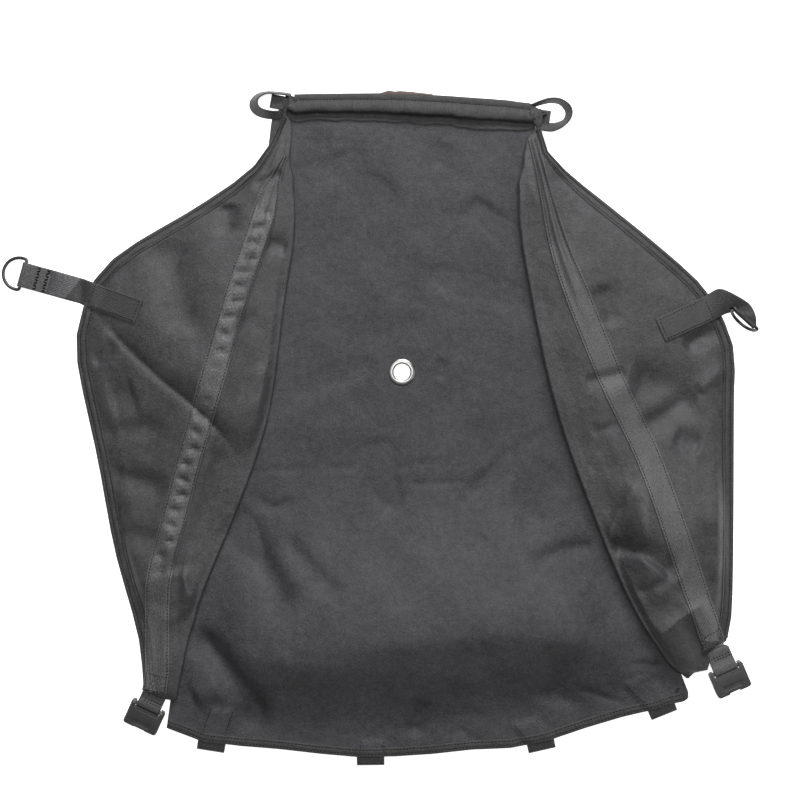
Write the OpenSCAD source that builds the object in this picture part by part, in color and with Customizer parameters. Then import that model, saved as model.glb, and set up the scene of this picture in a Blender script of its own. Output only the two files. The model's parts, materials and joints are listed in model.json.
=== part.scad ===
// Kayak spray skirt: a sewn fabric deck cover laid flat with its inside up.
// X runs across the skirt, Y towards the edge with the webbing casing, Z up from the floor.

/* [Cloth] */
// Thickness of the deck and wing cloth
cloth_t = 1.2; // [0.8:0.1:1.6]
// Height of the cloth's underside where the deck lies flat
deck_low = 3; // [2.5:0.1:4]
// Height of the soft ridge across the lower deck
crest_h = 36; // [20:1:45]
// Distance of the crest from the bottom hem
crest_in = 110; // [100:5:120]
// Height of the wings' roll along the fold
fold_h = 20; // [18:1:24]
// Width of the turned hem on the wings
hem_w = 11; // [9:1:12]

/* [Webbing] */
// Width of the webbing
web_w = 25; // [22:1:27]
// Thickness of the webbing
web_t = 1.5; // [1.2:0.1:1.8]
// Height of the corner loops, which stand on edge
loop_h = 15; // [12:1:16]
// Clear height inside the bottom loops
loop_eye = 4.4; // [4.2:0.1:4.6]
// How far the bottom loops stand out past the hem
loop_out = 10; // [9:0.5:11]

/* [Hardware] */
// Radius of the grommet's bore
bore_r = 8.2; // [7:0.1:9]
// Outer radius of the grommet's flange
flange_r = 13.5; // [12:0.5:15]
// Wire radius of the D-rings
wire_r = 1.5; // [1.2:0.1:1.8]
// Radius of the D-rings' arc, to the middle of the wire
ring_r = 16; // [15:0.5:18]
// Width of the buckle sockets
buckle_w = 36; // [34:1:38]
// Length of the buckle sockets, from the bar's far side to the mouth
buckle_l = 27; // [25:1:30]
// Height of the buckle sockets
buckle_h = 10; // [9.6:0.2:11]

/* [Hidden] */
$fn = 48;
LEFT = 0;
RIGHT = 1;
gap = 0.4;
fold_gap = 1.2;
over_deck = cloth_t + 2.4;
hem_low = loop_eye + 2 * web_t + gap;
cloth_colour = "#2d2d2f";
web_colour = "#38383a";

// Outlines, each a few points joined by a smooth curve, from the top edge down.
ridge = [
    [[-86, 312], [-89, 284], [-84, 204], [-94, 132], [-110, 16], [-134, -60], [-174, -158],
        [-198, -228], [-209, -278]],
    [[145, 298], [138, 218], [154, 116], [172, 33], [194, -36], [217, -97], [242, -158],
        [269, -208], [302, -251]]
];
wing_edge = [
    [[-97, 312], [-102, 298], [-125, 263], [-181, 223], [-256, 178], [-285, 150], [-301, 105],
        [-304, 75], [-282, -32], [-265, -122], [-241, -211], [-235, -268]],
    [[161, 300], [168, 277], [185, 259], [231, 222], [279, 183], [324, 142], [343, 112],
        [355, 78], [355, 28], [354, -142], [352, -194], [348, -213]]
];
// The straight fold that each wing turns about: its top and bottom ends.
fold = [
    [[-80.5, 303.5], [-204.5, -283.5]],
    [[124.5, 303.5], [302.5, -236.5]]
];
wing_inner = [
    [
        [-87, 310], for (y = [262, 200, 50, -100, -272]) fold_at(LEFT, y, -fold_gap)
    ],
    [
        [148, 295], [143, 270], for (y = [240, 200, 100, -50, -250]) fold_at(RIGHT, y, fold_gap)
    ]
];
bottom_bend = [[], [[316, -242], [324, -226]]];
strap_line = [
    [[-94, 272], [-108, 238], [-120, 197], [-137, 148], [-166, 48], [-190, -33], [-202, -80],
        [-216, -132], [-221, -160], [-222, -215], [-222, -245], [-225, -263]],
    [[153, 289], [165, 238], [179, 182], [200, 126], [233, 45], [266, -24], [296, -110],
        [323, -186], [336, -218]]
];
// Width of each strap: the top end is folded in, so it is narrower.
strap_top_w = [5, 8];
strap_growth = [9, 3];
deck_edge = [
    [[-108, 311], [-111, 278], [-97, 256], [-96, 204], [-106, 132], [-122, 16], [-146, -60],
        [-186, -158], [-205, -228], [-209, -270], [-213, -299]],
    [[157, 311], [151, 244], [152, 190], [166, 116], [184, 33], [206, -36], [236, -123],
        [281, -208], [313, -262]]
];
deck_top = [[-108, 311], [-89, 326], [5, 328], [56, 327], [120, 322], [157, 311]];
deck_bottom = [
    [-213, -299], [-180, -312], [-92, -321], [-24, -328], [41, -326], [100, -320], [144, -318],
    [174, -310], [218, -295], [262, -283], [300, -274], [313, -262]
];
casing_top = [[-89, 334], [5, 335], [56, 333], [149, 325], [169, 315]];
casing_bottom = [[-88, 316], [-28, 317], [46, 314], [92, 311], [124, 308], [152, 306]];
grommet_at = [22.5, 56.5];
loop_x = [-168, -9, 161, 282];

// Each tab: where it leaves the hem, the way it runs, and its D-ring's bar.
tab_patch_line = [
    [[-291, 135.3], [-266, 125.5], [-240, 115.5]],
    [[335.5, 122], [309, 110], [281, 99]]
];
left_tab_from = [-294.5, 136.5, 4];
left_bar_at = [-357.5, 154, 3.5];
left_tab_turn = atan2(left_bar_at.y - left_tab_from.y, left_bar_at.x - left_tab_from.x);
right_bar_at = [364.8, 109.8, 20];
right_bar_turn = -42;
// The right tab curls up and over: its upper and lower edges, from the hem to its ring.
right_tab_edges = [
    [[331.5, 136, 4.4], [345, 114.5, 4.4]],
    [[333.5, 140.5, 13], [349, 123, 16]],
    [[340, 141, 22], [358, 126, 26.5]],
    [[350, 136, 26.5], [367.5, 119.5, 30]],
    [[356, 127.5, 26], [373, 109.5, 28.5]],
    [[356.5, 119.9, 21.8], [375, 102.9, 21.8]]
];

// Each buckle: its bar, the way it points in plan, its dip and the length of its webbing tail.
bar_at = [[-231, -279, 11], [346.5, -241.5, 7.3]];
buckle_turn = [-115, -66.5];
buckle_dip = [14, 5];
tail_l = [14, 21];
bar_r = 2;

function clamp01(t) = min(1, max(0, t));
function smooth(t) = let (c = clamp01(t)) c * c * (3 - 2 * c);
function mix(a, b, t) = a + (b - a) * t;
function hump(s) = abs(s) < 1 ? (1 + cos(180 * s)) / 2 : 0;
function fold_at(side, y, out = 0) =
    let (a = fold[side][0], b = fold[side][1])
    [mix(a.x, b.x, (a.y - y) / (a.y - b.y)) + out, y];
function x_on(curve, y) = lookup(y, [for (p = curve) [p.y, p.x]]);
function y_on(curve, x) = lookup(x, curve);

// Smooth curve through points: t runs from 0 to 1 by length.
function lengths(points) = [
    for (i = 0, s = 0; i < len(points);
        s = s + (i + 1 < len(points) ? norm(points[i + 1] - points[i]) : 0), i = i + 1) s
];
function slope(points, s, i) =
    let (a = max(0, i - 1), b = min(len(points) - 1, i + 1))
    (points[b] - points[a]) / (s[b] - s[a]);
function curve(points, t) =
    let (
        s = lengths(points),
        last = len(points) - 1,
        want = clamp01(t) * s[last],
        found = [for (i = [0:last - 1]) if (want >= s[i]) i],
        i = found[len(found) - 1],
        span = s[i + 1] - s[i],
        u = (want - s[i]) / span,
        u2 = u * u,
        u3 = u2 * u
    )
    (2 * u3 - 3 * u2 + 1) * points[i] + (u3 - 2 * u2 + u) * span * slope(points, s, i)
    + (3 * u2 - 2 * u3) * points[i + 1] + (u3 - u2) * span * slope(points, s, i + 1);
function normal(points, t) =
    let (d = curve(points, min(1, t + 0.01)) - curve(points, max(0, t - 0.01)))
    [-d.y, d.x] / norm(d);

// Patch between four edge curves, as rows of points.
function patch(left, right, top, bottom, rows, columns) = [
    for (j = [0:rows]) let (v = j / rows, l = curve(left, v), r = curve(right, v)) [
        for (i = [0:columns])
            let (u = i / columns, t = curve(top, u), b = curve(bottom, u))
            mix(l, r, u) + mix(t, b, v)
            - mix(mix(left[0], right[0], u), mix(left[len(left) - 1], right[len(right) - 1], u), v)
    ]
];
// Strip along a curve, between two distances from it.
function strip(points, near, far, rows, columns = 1) = [
    for (j = [0:rows]) let (p = curve(points, j / rows), n = normal(points, j / rows)) [
        for (i = [0:columns])
            p + n * mix(near(j / rows), far(j / rows), i / columns)
    ]
];
function raise(grid, height) = [
    for (row = grid) [for (p = row) [p.x, p.y, height(p.x, p.y)]]
];

// Heights of the cloth's underside.
function deck_z(x, y) =
    let (
        inside = min(x - x_on(ridge[LEFT], y), x_on(ridge[RIGHT], y) - x),
        above = y - y_on(deck_bottom, x),
        crest = crest_in - 35 * smooth((x - 150) / 130) - 20 * smooth((-60 - x) / 60),
        s = above > crest ? (above - crest) / 170 : (crest - above) / (crest - 30)
    )
    mix(hem_low, deck_low, smooth((above - 30) / 100))
    + crest_h * (0.1 + 0.9 * smooth(inside / 90)) * hump(s);
function fold_z(y) = 9 + (fold_h - 9) * smooth((300 - y) / 50)
    - 5 * smooth((-232 - y) / 30);
function rim_z(y) = (deck_low + cloth_t + 1.2) * smooth((y - 235) / 30);
function wing_z(side, x, y) =
    let (
        inner = fold_at(side, y).x,
        u = clamp01((x - inner) / (x_on(wing_edge[side], y) - inner))
    )
    mix(fold_z(y), rim_z(y), 1 - pow(1 - u, 1.4));
function root_z(side, x, y) =
    let (
        from = x_on(ridge[side], y),
        u = clamp01((x - from) / (fold_at(side, y).x - from)),
        low = max(deck_z(from, y), deck_z(x, y)) + over_deck
    )
    mix(low, fold_z(y), sin(90 * u));

// A closed sheet over rows of points that give its underside.
module sheet(grid, thick) {
    rows = len(grid);
    columns = len(grid[0]);
    below = [for (row = grid) for (p = row) p];
    above = [for (p = below) p + [0, 0, thick]];
    count = rows * columns;
    cells = [for (j = [0:rows - 2]) for (i = [0:columns - 2]) j * columns + i];
    rim = concat(
        [for (i = [0:columns - 2]) i],
        [for (j = [0:rows - 2]) j * columns + columns - 1],
        [for (i = [columns - 1:-1:1]) (rows - 1) * columns + i],
        [for (j = [rows - 1:-1:1]) j * columns]
    );
    polyhedron(
        concat(below, above),
        concat(
            [for (c = cells) [c, c + 1, c + columns + 1]],
            [for (c = cells) [c, c + columns + 1, c + columns]],
            [for (c = cells) [c + count, c + count + columns + 1, c + count + 1]],
            [for (c = cells) [c + count, c + count + columns, c + count + columns + 1]],
            [for (k = [0:len(rim) - 1]) let (a = rim[k], b = rim[(k + 1) % len(rim)])
                [a, a + count, b + count]],
            [for (k = [0:len(rim) - 1]) let (a = rim[k], b = rim[(k + 1) % len(rim)])
                [a, b + count, b]]
        )
    );
}

// Deck.
module deck_panel() {
    grid = patch(deck_edge[LEFT], deck_edge[RIGHT], deck_top, deck_bottom, 22, 14);
    color(cloth_colour) difference() {
        sheet(raise(grid, function(x, y) deck_z(x, y)), cloth_t);
        translate([grommet_at.x, grommet_at.y, 0])
            cylinder(h = 3 * deck_low, r = bore_r + 1.6);
    }
}
module bottom_hem() {
    grid = strip(deck_bottom, function(t) 0.5, function(t) hem_w, 30);
    color(cloth_colour)
        sheet(raise(grid, function(x, y) deck_z(x, y) + cloth_t + gap), cloth_t);
}
module top_casing() {
    flat = [casing_top[0], casing_bottom[0]];
    end = [casing_top[len(casing_top) - 1], casing_bottom[len(casing_bottom) - 1]];
    grid = patch(flat, end, casing_top, casing_bottom, 2, 12);
    color(cloth_colour)
        sheet(raise(grid, function(x, y) deck_low + cloth_t + web_t + 3 * gap + 0.6), cloth_t);
}
module top_edge_webbing() {
    line = [[-107, 324], [5, 326], [56, 324], [120, 318], [172, 311]];
    grid = strip(line, function(t) -7, function(t) 7, 10);
    color(web_colour)
        sheet(raise(grid, function(x, y) deck_low + cloth_t + gap), web_t);
}
module care_label() {
    low = deck_low + cloth_t + web_t + 2 * gap;
    color("#6b5a58")
        translate([3.5, 320, low]) cube([50, 18.5, 0.5]);
}
module grommet() {
    top = deck_low + cloth_t;
    color("silver") translate([grommet_at.x, grommet_at.y, 0]) rotate_extrude() {
        translate([bore_r, deck_low - 1.8]) square([1, cloth_t + 3.2]);
        translate([bore_r, top + gap]) square([flange_r - bore_r - 0.7, 1.4]);
        translate([flange_r - 0.7, top + gap + 0.7]) circle(0.7);
    }
}
module grommet_washer() {
    color("silver") translate([grommet_at.x, grommet_at.y, deck_low - 1.8])
        difference() {
            cylinder(h = 1.2, r = flange_r);
            translate([0, 0, -1]) cylinder(h = 4, r = bore_r + 1.3);
        }
}

// A bottom loop: webbing folded under the hem, its eye running along the hem.
module bottom_loop(x) {
    y = y_on(deck_bottom, x);
    ahead = y_on(deck_bottom, x + web_w / 2);
    back = y_on(deck_bottom, x - web_w / 2);
    r = loop_eye / 2 + web_t;
    leg = 26;
    color(web_colour) translate([x, y, r]) rotate([0, 0, atan2(ahead - back, web_w)])
        rotate([90, 0, 90]) translate([0, 0, -14])
            linear_extrude(28) difference() {
                union() {
                    translate([r - loop_out, 0]) circle(r);
                    translate([r - loop_out, -r]) square([loop_out - r + 3, 2 * r]);
                    translate([3, r - 2 * web_t]) square([leg, 2 * web_t]);
                }
                translate([r - loop_out, 0]) circle(r - web_t);
                translate([r - loop_out, web_t - r]) square([loop_out - r + 1.4, loop_eye]);
            }
}

// Wings.
module wing_root(side, from_y, to_y) {
    out = side == LEFT ? fold_gap : -fold_gap;
    ys = [for (k = [0:14]) mix(from_y, to_y, k / 14)];
    grid = [
        for (y = ys) let (a = curve_x(ridge[side], y), b = fold_at(side, y, out).x) [
            for (u = [0, 0.3, 0.65, 1]) [mix(a, b, u), y]
        ]
    ];
    color(cloth_colour)
        sheet(side == LEFT ? raise(mirrored(grid), function(x, y) root_z(side, x, y))
            : raise(grid, function(x, y) root_z(side, x, y)), cloth_t);
}
function mirrored(grid) = [for (row = grid) [for (i = [len(row) - 1:-1:0]) row[i]]];
function curve_x(points, y) = x_on([for (k = [0:60]) curve(points, k / 60)], y);

module wing_panel(side) {
    a = side == LEFT ? wing_edge[LEFT] : wing_inner[RIGHT];
    b = side == LEFT ? wing_inner[LEFT] : wing_edge[RIGHT];
    top = [a[0], b[0]];
    bottom = [a[len(a) - 1], each bottom_bend[side], b[len(b) - 1]];
    grid = patch(a, b, top, bottom, 24, 7);
    color(cloth_colour) sheet(raise(grid, function(x, y) wing_z(side, x, y)), cloth_t);
}
module wing_hem(side) {
    way = side == LEFT ? 1 : -1;
    near = function(t) way * 0.5;
    far = function(t) way * mix(5, hem_w, smooth(t * 6));
    grid = side == LEFT ? strip(wing_edge[side], near, far, 32, 2)
        : strip(wing_edge[side], far, near, 32, 2);
    color(cloth_colour)
        sheet(raise(grid, function(x, y) wing_z(side, x, y) + cloth_t + gap), cloth_t);
}
function over_hem(y) = (cloth_t + gap) * (smooth((-120 - y) / 60) + smooth((y - 220) / 30));
module strap(side) {
    half = function(t) mix(strap_top_w[side], web_w, smooth(t * strap_growth[side])) / 2;
    grid = strip(strap_line[side], function(t) -half(t), half, 26, 3);
    color(web_colour) sheet(raise(grid,
        function(x, y) wing_z(side, x, y) + cloth_t + gap + over_hem(y)), web_t);
}
module tab_patch(side) {
    grid = strip(tab_patch_line[side], function(t) -web_w / 2, function(t) web_w / 2, 5, 2);
    color(web_colour)
        sheet(raise(grid, function(x, y) wing_z(side, x, y) + 2 * (cloth_t + gap)), web_t);
}

// Webbing loop round a bar along local X, with the webbing leaving along local -Y.
module bar_loop(inner_r, length, leg) {
    rotate([90, 0, 90]) translate([0, 0, -length / 2]) linear_extrude(length)
        difference() {
            union() {
                circle(inner_r + web_t);
                translate([-leg, -web_t]) square([leg, 2 * web_t]);
            }
            circle(inner_r);
        }
}
module left_tab_webbing() {
    reach = norm(left_bar_at - left_tab_from);
    color(web_colour) translate(left_bar_at) rotate([0, 0, left_tab_turn - 90]) {
        bar_loop(wire_r + 0.3, web_w, 28);
        translate([-web_w / 2, -reach, -web_t / 2]) cube([web_w, reach - 20, web_t]);
    }
}
module right_tab_webbing() {
    last = len(right_tab_edges) - 1;
    rows = [
        for (k = [0:last])
            let (
                a = right_tab_edges[k][0],
                b = right_tab_edges[k][1],
                ahead = right_tab_edges[min(last, k + 1)][0] - right_tab_edges[max(0, k - 1)][0],
                across = cross(ahead, b - a),
                up = across / norm(across) * -web_t / 2
            )
            [a - up, b - up, b + up, a + up]
    ];
    points = [for (row = rows) for (p = row) p];
    end = 4 * last;
    color(web_colour) union() {
        polyhedron(points, concat(
            [[0, 3, 2], [0, 2, 1], [end, end + 1, end + 2], [end, end + 2, end + 3]],
            [for (k = [0:last - 1]) for (i = [0:3])
                [4 * k + i, 4 * k + (i + 1) % 4, 4 * k + 4 + (i + 1) % 4]],
            [for (k = [0:last - 1]) for (i = [0:3])
                [4 * k + i, 4 * k + 4 + (i + 1) % 4, 4 * k + 4 + i]]
        ));
        translate(right_bar_at) rotate([0, 0, right_bar_turn]) rotate([0, 90, 0])
            difference() {
                cylinder(h = web_w, r = wire_r + 0.3 + web_t, center = true);
                cylinder(h = web_w + 2, r = wire_r + 0.3, center = true);
            }
    }
}
// D-ring: bar along local X, arc towards local +Y.
module d_ring() {
    legs = 3;
    color("#8d8d8f") union() {
        rotate([0, 90, 0]) cylinder(h = 2 * ring_r, r = wire_r, center = true);
        for (s = [-1, 1]) translate([s * ring_r, 0, 0]) {
            sphere(wire_r * 1.05);
            rotate([-90, 0, 0]) cylinder(h = legs, r = wire_r);
        }
        translate([0, legs, 0]) rotate_extrude(angle = 180)
            translate([ring_r, 0]) circle(wire_r);
    }
}
module left_d_ring() {
    translate(left_bar_at) rotate([0, 0, left_tab_turn - 90]) rotate([-5, 0, 0]) d_ring();
}
module right_d_ring() {
    translate(right_bar_at) rotate([0, 0, right_bar_turn]) rotate([-105, 0, 0]) d_ring();
}

// Strap tail and buckle socket, each drawn with the bar along local X and the mouth towards +Y.
module at_bar(side) {
    translate(bar_at[side]) rotate([0, 0, buckle_turn[side] - 90]) children();
}
module strap_tail(side) {
    color(web_colour) at_bar(side) bar_loop(bar_r + 0.3, web_w - 1, tail_l[side]);
}
module buckle_socket(side) {
    back = -3;
    wall = 1.5;
    slot_end = 8.5;
    rail = (buckle_w - web_w - 2) / 2;
    color("#3c3c3e") at_bar(side) rotate([-buckle_dip[side], 0, 0]) {
        difference() {
            translate([0, 0, -buckle_h / 2]) linear_extrude(buckle_h) buckle_outline(back);
            translate([rail - buckle_w / 2, back - 1, -buckle_h])
                cube([buckle_w - 2 * rail, slot_end - back + 1, 2 * buckle_h]);
            translate([4 - buckle_w / 2, slot_end + 2.5, wall - buckle_h / 2])
                cube([buckle_w - 8, buckle_l, buckle_h - 2 * wall]);
            for (s = [-1, 1])
                translate([s * buckle_w / 2 - 4.5, slot_end + 2.5, wall - buckle_h / 2])
                    cube([9, 7.5, buckle_h - 2 * wall]);
        }
        rotate([0, 90, 0]) cylinder(h = web_w + 3, r = bar_r, center = true);
    }
}
module buckle_outline(back) {
    r = 3;
    translate([-buckle_w / 2 + r, back]) square([buckle_w - 2 * r, buckle_l]);
    translate([-buckle_w / 2, back + r]) square([buckle_w, buckle_l - 2 * r]);
    for (s = [-1, 1]) for (y = [r, buckle_l - r])
        translate([s * (buckle_w / 2 - r), back + y]) circle(r);
}

// Corner loop: webbing on edge, its root along local X = 0 and its eye towards +X.
module top_loop(r, long) {
    color(web_colour) linear_extrude(loop_h) difference() {
        intersection() {
            union() {
                translate([long, 0]) circle(r);
                translate([0, -r]) square([long, 2 * r]);
            }
            translate([0, -r]) square([long + r, 2 * r]);
        }
        intersection() {
            union() {
                translate([long, 0]) circle(r - web_t);
                translate([0, web_t - r]) square([long, 2 * (r - web_t)]);
            }
            translate([web_t, -r]) square([long + r, 2 * r]);
        }
    }
}
module left_top_loop() {
    translate([-109, 324, 0]) rotate([0, 0, 180]) top_loop(13, 7.5);
}
module right_top_loop() {
    translate([175.2, 313, 0]) rotate([0, 0, 20]) top_loop(11, 8);
}

deck_panel();
bottom_hem();
top_casing();
top_edge_webbing();
care_label();
grommet();
grommet_washer();
bottom_loop(loop_x[0]);  // bottom_loop_1
bottom_loop(loop_x[1]);  // bottom_loop_2
bottom_loop(loop_x[2]);  // bottom_loop_3
bottom_loop(loop_x[3]);  // bottom_loop_4
wing_root(LEFT, 245, -185);  // left_wing_root
wing_root(RIGHT, 240, -228);  // right_wing_root
wing_panel(LEFT);  // left_wing_panel
wing_panel(RIGHT);  // right_wing_panel
wing_hem(LEFT);  // left_wing_hem
wing_hem(RIGHT);  // right_wing_hem
strap(LEFT);  // left_strap
strap(RIGHT);  // right_strap
tab_patch(LEFT);  // left_tab_patch
tab_patch(RIGHT);  // right_tab_patch
left_tab_webbing();
right_tab_webbing();
left_d_ring();
right_d_ring();
strap_tail(LEFT);  // left_strap_tail
strap_tail(RIGHT);  // right_strap_tail
buckle_socket(LEFT);  // left_buckle_socket
buckle_socket(RIGHT);  // right_buckle_socket
left_top_loop();
right_top_loop();
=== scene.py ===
"""A kayak spray skirt: a sewn cloth deck cover laid flat with its inside up.

Everything is in metres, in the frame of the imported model, seen with +Y at the top of the view.
"""

import json
import math

import bpy
import numpy as np
from mathutils import Matrix, Vector, noise
from mathutils.bvhtree import BVHTree


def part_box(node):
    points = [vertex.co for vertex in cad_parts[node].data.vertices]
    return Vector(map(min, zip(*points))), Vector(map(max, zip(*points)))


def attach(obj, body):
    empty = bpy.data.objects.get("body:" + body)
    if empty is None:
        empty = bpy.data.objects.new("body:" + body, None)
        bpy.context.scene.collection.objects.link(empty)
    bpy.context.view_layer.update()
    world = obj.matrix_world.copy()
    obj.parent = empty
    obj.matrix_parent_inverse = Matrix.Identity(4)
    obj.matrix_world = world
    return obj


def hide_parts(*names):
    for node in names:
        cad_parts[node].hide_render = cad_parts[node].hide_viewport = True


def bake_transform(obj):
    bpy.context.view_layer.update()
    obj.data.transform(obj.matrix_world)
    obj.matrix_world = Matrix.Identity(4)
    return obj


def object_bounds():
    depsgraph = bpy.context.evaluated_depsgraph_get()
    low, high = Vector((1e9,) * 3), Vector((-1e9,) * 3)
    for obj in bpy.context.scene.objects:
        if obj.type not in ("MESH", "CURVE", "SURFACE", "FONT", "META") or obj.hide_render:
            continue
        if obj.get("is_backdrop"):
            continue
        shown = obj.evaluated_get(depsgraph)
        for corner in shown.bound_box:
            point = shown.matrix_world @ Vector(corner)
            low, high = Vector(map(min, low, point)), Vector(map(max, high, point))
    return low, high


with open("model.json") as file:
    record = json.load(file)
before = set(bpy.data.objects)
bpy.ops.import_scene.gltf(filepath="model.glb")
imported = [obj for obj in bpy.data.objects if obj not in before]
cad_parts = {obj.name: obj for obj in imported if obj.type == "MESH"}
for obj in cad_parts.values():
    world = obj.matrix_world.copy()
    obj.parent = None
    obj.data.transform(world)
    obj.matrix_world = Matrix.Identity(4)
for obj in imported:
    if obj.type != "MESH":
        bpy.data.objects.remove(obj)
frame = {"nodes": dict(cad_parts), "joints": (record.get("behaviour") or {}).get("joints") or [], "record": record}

bl_info = {
    "name": "Kayak spray skirt",
    "version": (1, 0, 0),
    "blender": (4, 5, 0),
    "location": "View3D > Sidebar > Spray skirt",
    "description": "Builds a sewn spray skirt with wings, straps, buckles and rings",
    "category": "Add Mesh",
}

MM = 0.001
WAY = {"left": -1, "right": 1}
UP = Vector((0, 0, 1))

# Soft folds of the deck cloth: points in millimetres, height, width on the left and on the
# right of the line, and the kind of fold.
DECK_FOLDS = [
    ([(-122, -222), (-80, -232), (-38, -233), (0, -216), (60, -207), (140, -203), (262, -208)],
     3, 38, 18, "soft"),
    ([(-90, 254), (-50, 262), (-10, 278)], -2.5, 9, 14, "soft"),
    ([(14, 252), (-36, 183), (-58, 136)], -4.5, 20, 24, "soft"),
    ([(88, 232), (112, 212), (142, 188)], -3.5, 7, 12, "soft"),
    ([(45, 163), (80, 146), (152, 132)], -3.5, 8, 10, "soft"),
    ([(-90, 36), (-30, 59), (2, 66)], -2.2, 7, 9, "soft"),
    ([(64, 70), (60, 48)], -1.4, 6, 6, "soft"),
    ([(62, 288), (60, 258)], -1.2, 9, 9, "soft"),
    ([(-136, -43), (-60, -40), (-8, -38)], -0.9, 2.5, 3, "sharp"),
    ([(-136, -60), (-108, -79), (-82, -69)], -1.6, 5, 6, "soft"),
    ([(-8, -8), (0, -50), (18, -90)], -5, 14, 11, "soft"),
    ([(26, -57), (88, -53)], -1.2, 2.5, 3, "sharp"),
    ([(12, -45), (36, -35), (72, -33)], -0.9, 2.5, 3, "sharp"),
    ([(82, -67), (110, -50), (136, -28), (184, -1)], -3.4, 7, 9, "soft"),
    ([(174, -36), (158, -60), (152, -84), (166, -106)], -4.5, 16, 18, "soft"),
    ([(144, -142), (178, -124), (220, -117)], -3.2, 9, 8, "soft"),
    ([(-148, -80), (-130, -111), (-106, -151), (-84, -190)], -6.5, 13, 17, "soft"),
    ([(-98, -100), (-76, -131), (-56, -151), (-34, -175)], -3.2, 9, 12, "soft"),
    ([(-192, -198), (-166, -221), (-142, -248), (-124, -278), (-132, -308)], -9, 12, 14, "soft"),
    ([(-186, -270), (-156, -254)], 4, 12, 14, "soft"),
    ([(106, -106), (88, -128)], -1.6, 6, 7, "soft"),
    ([(42, -268), (34, -310)], -3.2, 9, 9, "soft"),
    ([(186, -212), (178, -250), (170, -280)], -5.5, 17, 14, "soft"),
    ([(194, -257), (248, -277)], -1.5, 3, 4, "soft"),
    ([(246, -234), (290, -237)], -1.4, 3, 4, "soft"),
    ([(76, -299), (106, -319)], -1.5, 4, 4, "soft"),
]
LEFT_FOLDS = [
    ([(-290, 122), (-260, 88), (-220, 50), (-184, 21), (-160, -4), (-136, -38)], 7, 34, 26,
     "shelf"),
    ([(-214, 196), (-200, 140), (-190, 88)], -4.5, 18, 20, "soft"),
    ([(-150, 226), (-152, 192)], -3.5, 10, 11, "soft"),
    ([(-114, 185), (-90, 181)], -3, 8, 8, "soft"),
    ([(-272, 28), (-242, 36)], -3, 13, 15, "soft"),
    ([(-288, 64), (-262, 86)], -2.5, 7, 7, "soft"),
    ([(-286, -5), (-212, 4)], -2.2, 9, 10, "soft"),
    ([(-276, -45), (-210, -60)], -3.2, 10, 12, "soft"),
    ([(-266, -103), (-210, -114)], -2.8, 10, 11, "soft"),
    ([(-196, -136), (-191, -160), (-178, -184)], 4.5, 6, 16, "sharp"),
    ([(-126, 242), (-96, 257)], -2, 4, 5, "soft"),
    ([(-224, -110), (-214, -150), (-222, -190)], -3, 14, 14, "soft"),
    ([(-140, 120), (-118, 88), (-122, 52)], -2, 12, 14, "soft"),
    ([(-276, -130), (-236, -138), (-196, -142)], 6, 44, 60, "soft"),
]
RIGHT_FOLDS = [
    ([(220, 144), (233, 100)], -3, 10, 11, "soft"),
    ([(201, 45), (250, 57)], -2.2, 6, 8, "soft"),
    ([(302, 80), (324, 92), (350, 102)], -4, 6, 9, "soft"),
    ([(246, 48), (292, 40), (310, 16)], -4.5, 17, 18, "soft"),
    ([(316, 36), (352, 64)], 2.5, 8, 6, "soft"),
    ([(256, 0), (290, 16), (320, 32)], -3.5, 9, 13, "soft"),
    ([(294, -6), (322, -19)], -3, 10, 11, "soft"),
    ([(210, -5), (240, 5)], -1.2, 4, 4, "soft"),
    ([(258, -50), (237, -82), (226, -120)], 4, 15, 5, "sharp"),
    ([(224, -120), (257, -123), (274, -132), (296, -152)], -5.5, 15, 4, "soft"),
    ([(254, -165), (290, -148)], -1.6, 5, 5, "soft"),
    ([(268, -210), (303, -184), (330, -168)], 7, 9, 26, "sharp"),
    ([(330, -90), (326, -130), (334, -170)], -2.5, 14, 12, "soft"),
    ([(236, -98), (300, -100), (372, -92)], 12, 60, 74, "soft"),
    ([(290, -160), (318, -196), (336, -232)], 3, 16, 10, "sharp"),
    ([(256, -158), (300, -150), (372, -148)], 2.5, 34, 44, "soft"),
]


# ---------------------------------------------------------------- reading the frame


class Outline:
    """The plan of one CAD node: how far it reaches along a line across it."""

    def __init__(self, node):
        mesh = frame["nodes"][node].data
        self.points = np.array([v.co for v in mesh.vertices])
        self.edges = np.array([e.vertices[:] for e in mesh.edges])

    def cut(self, axis, value):
        low, high = self.points[:, axis].min(), self.points[:, axis].max()
        value = min(max(value, low + 0.1 * MM), high - 0.1 * MM)
        a, b = self.points[self.edges[:, 0]], self.points[self.edges[:, 1]]
        before, after = a[:, axis] - value, b[:, axis] - value
        hit = (before * after <= 0) & (np.abs(before - after) > 1e-9)
        share = before[hit] / (before[hit] - after[hit])
        other = a[hit, 1 - axis] + (b - a)[hit, 1 - axis] * share
        return other.min(), other.max()

    def x_range(self, y):
        return self.cut(1, y)

    def y_range(self, x):
        return self.cut(0, x)

    def corner(self, dx, dy):
        return self.points[np.argmax(self.points[:, 0] * dx + self.points[:, 1] * dy)][:2]

    def oriented(self):
        """Middle, direction, length and width of a strip, in plan."""
        plan = self.points[:, :2]
        middle = (plan.min(0) + plan.max(0)) / 2
        values, vectors = np.linalg.eigh(np.cov((plan - plan.mean(0)).T))
        ahead = vectors[:, np.argmax(values)]
        across = np.array([-ahead[1], ahead[0]])
        along, aside = (plan - middle) @ ahead, (plan - middle) @ across
        middle = middle + ahead * (along.min() + along.max()) / 2
        middle = middle + across * (aside.min() + aside.max()) / 2
        return middle, ahead, np.ptp(along), np.ptp(aside)


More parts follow.
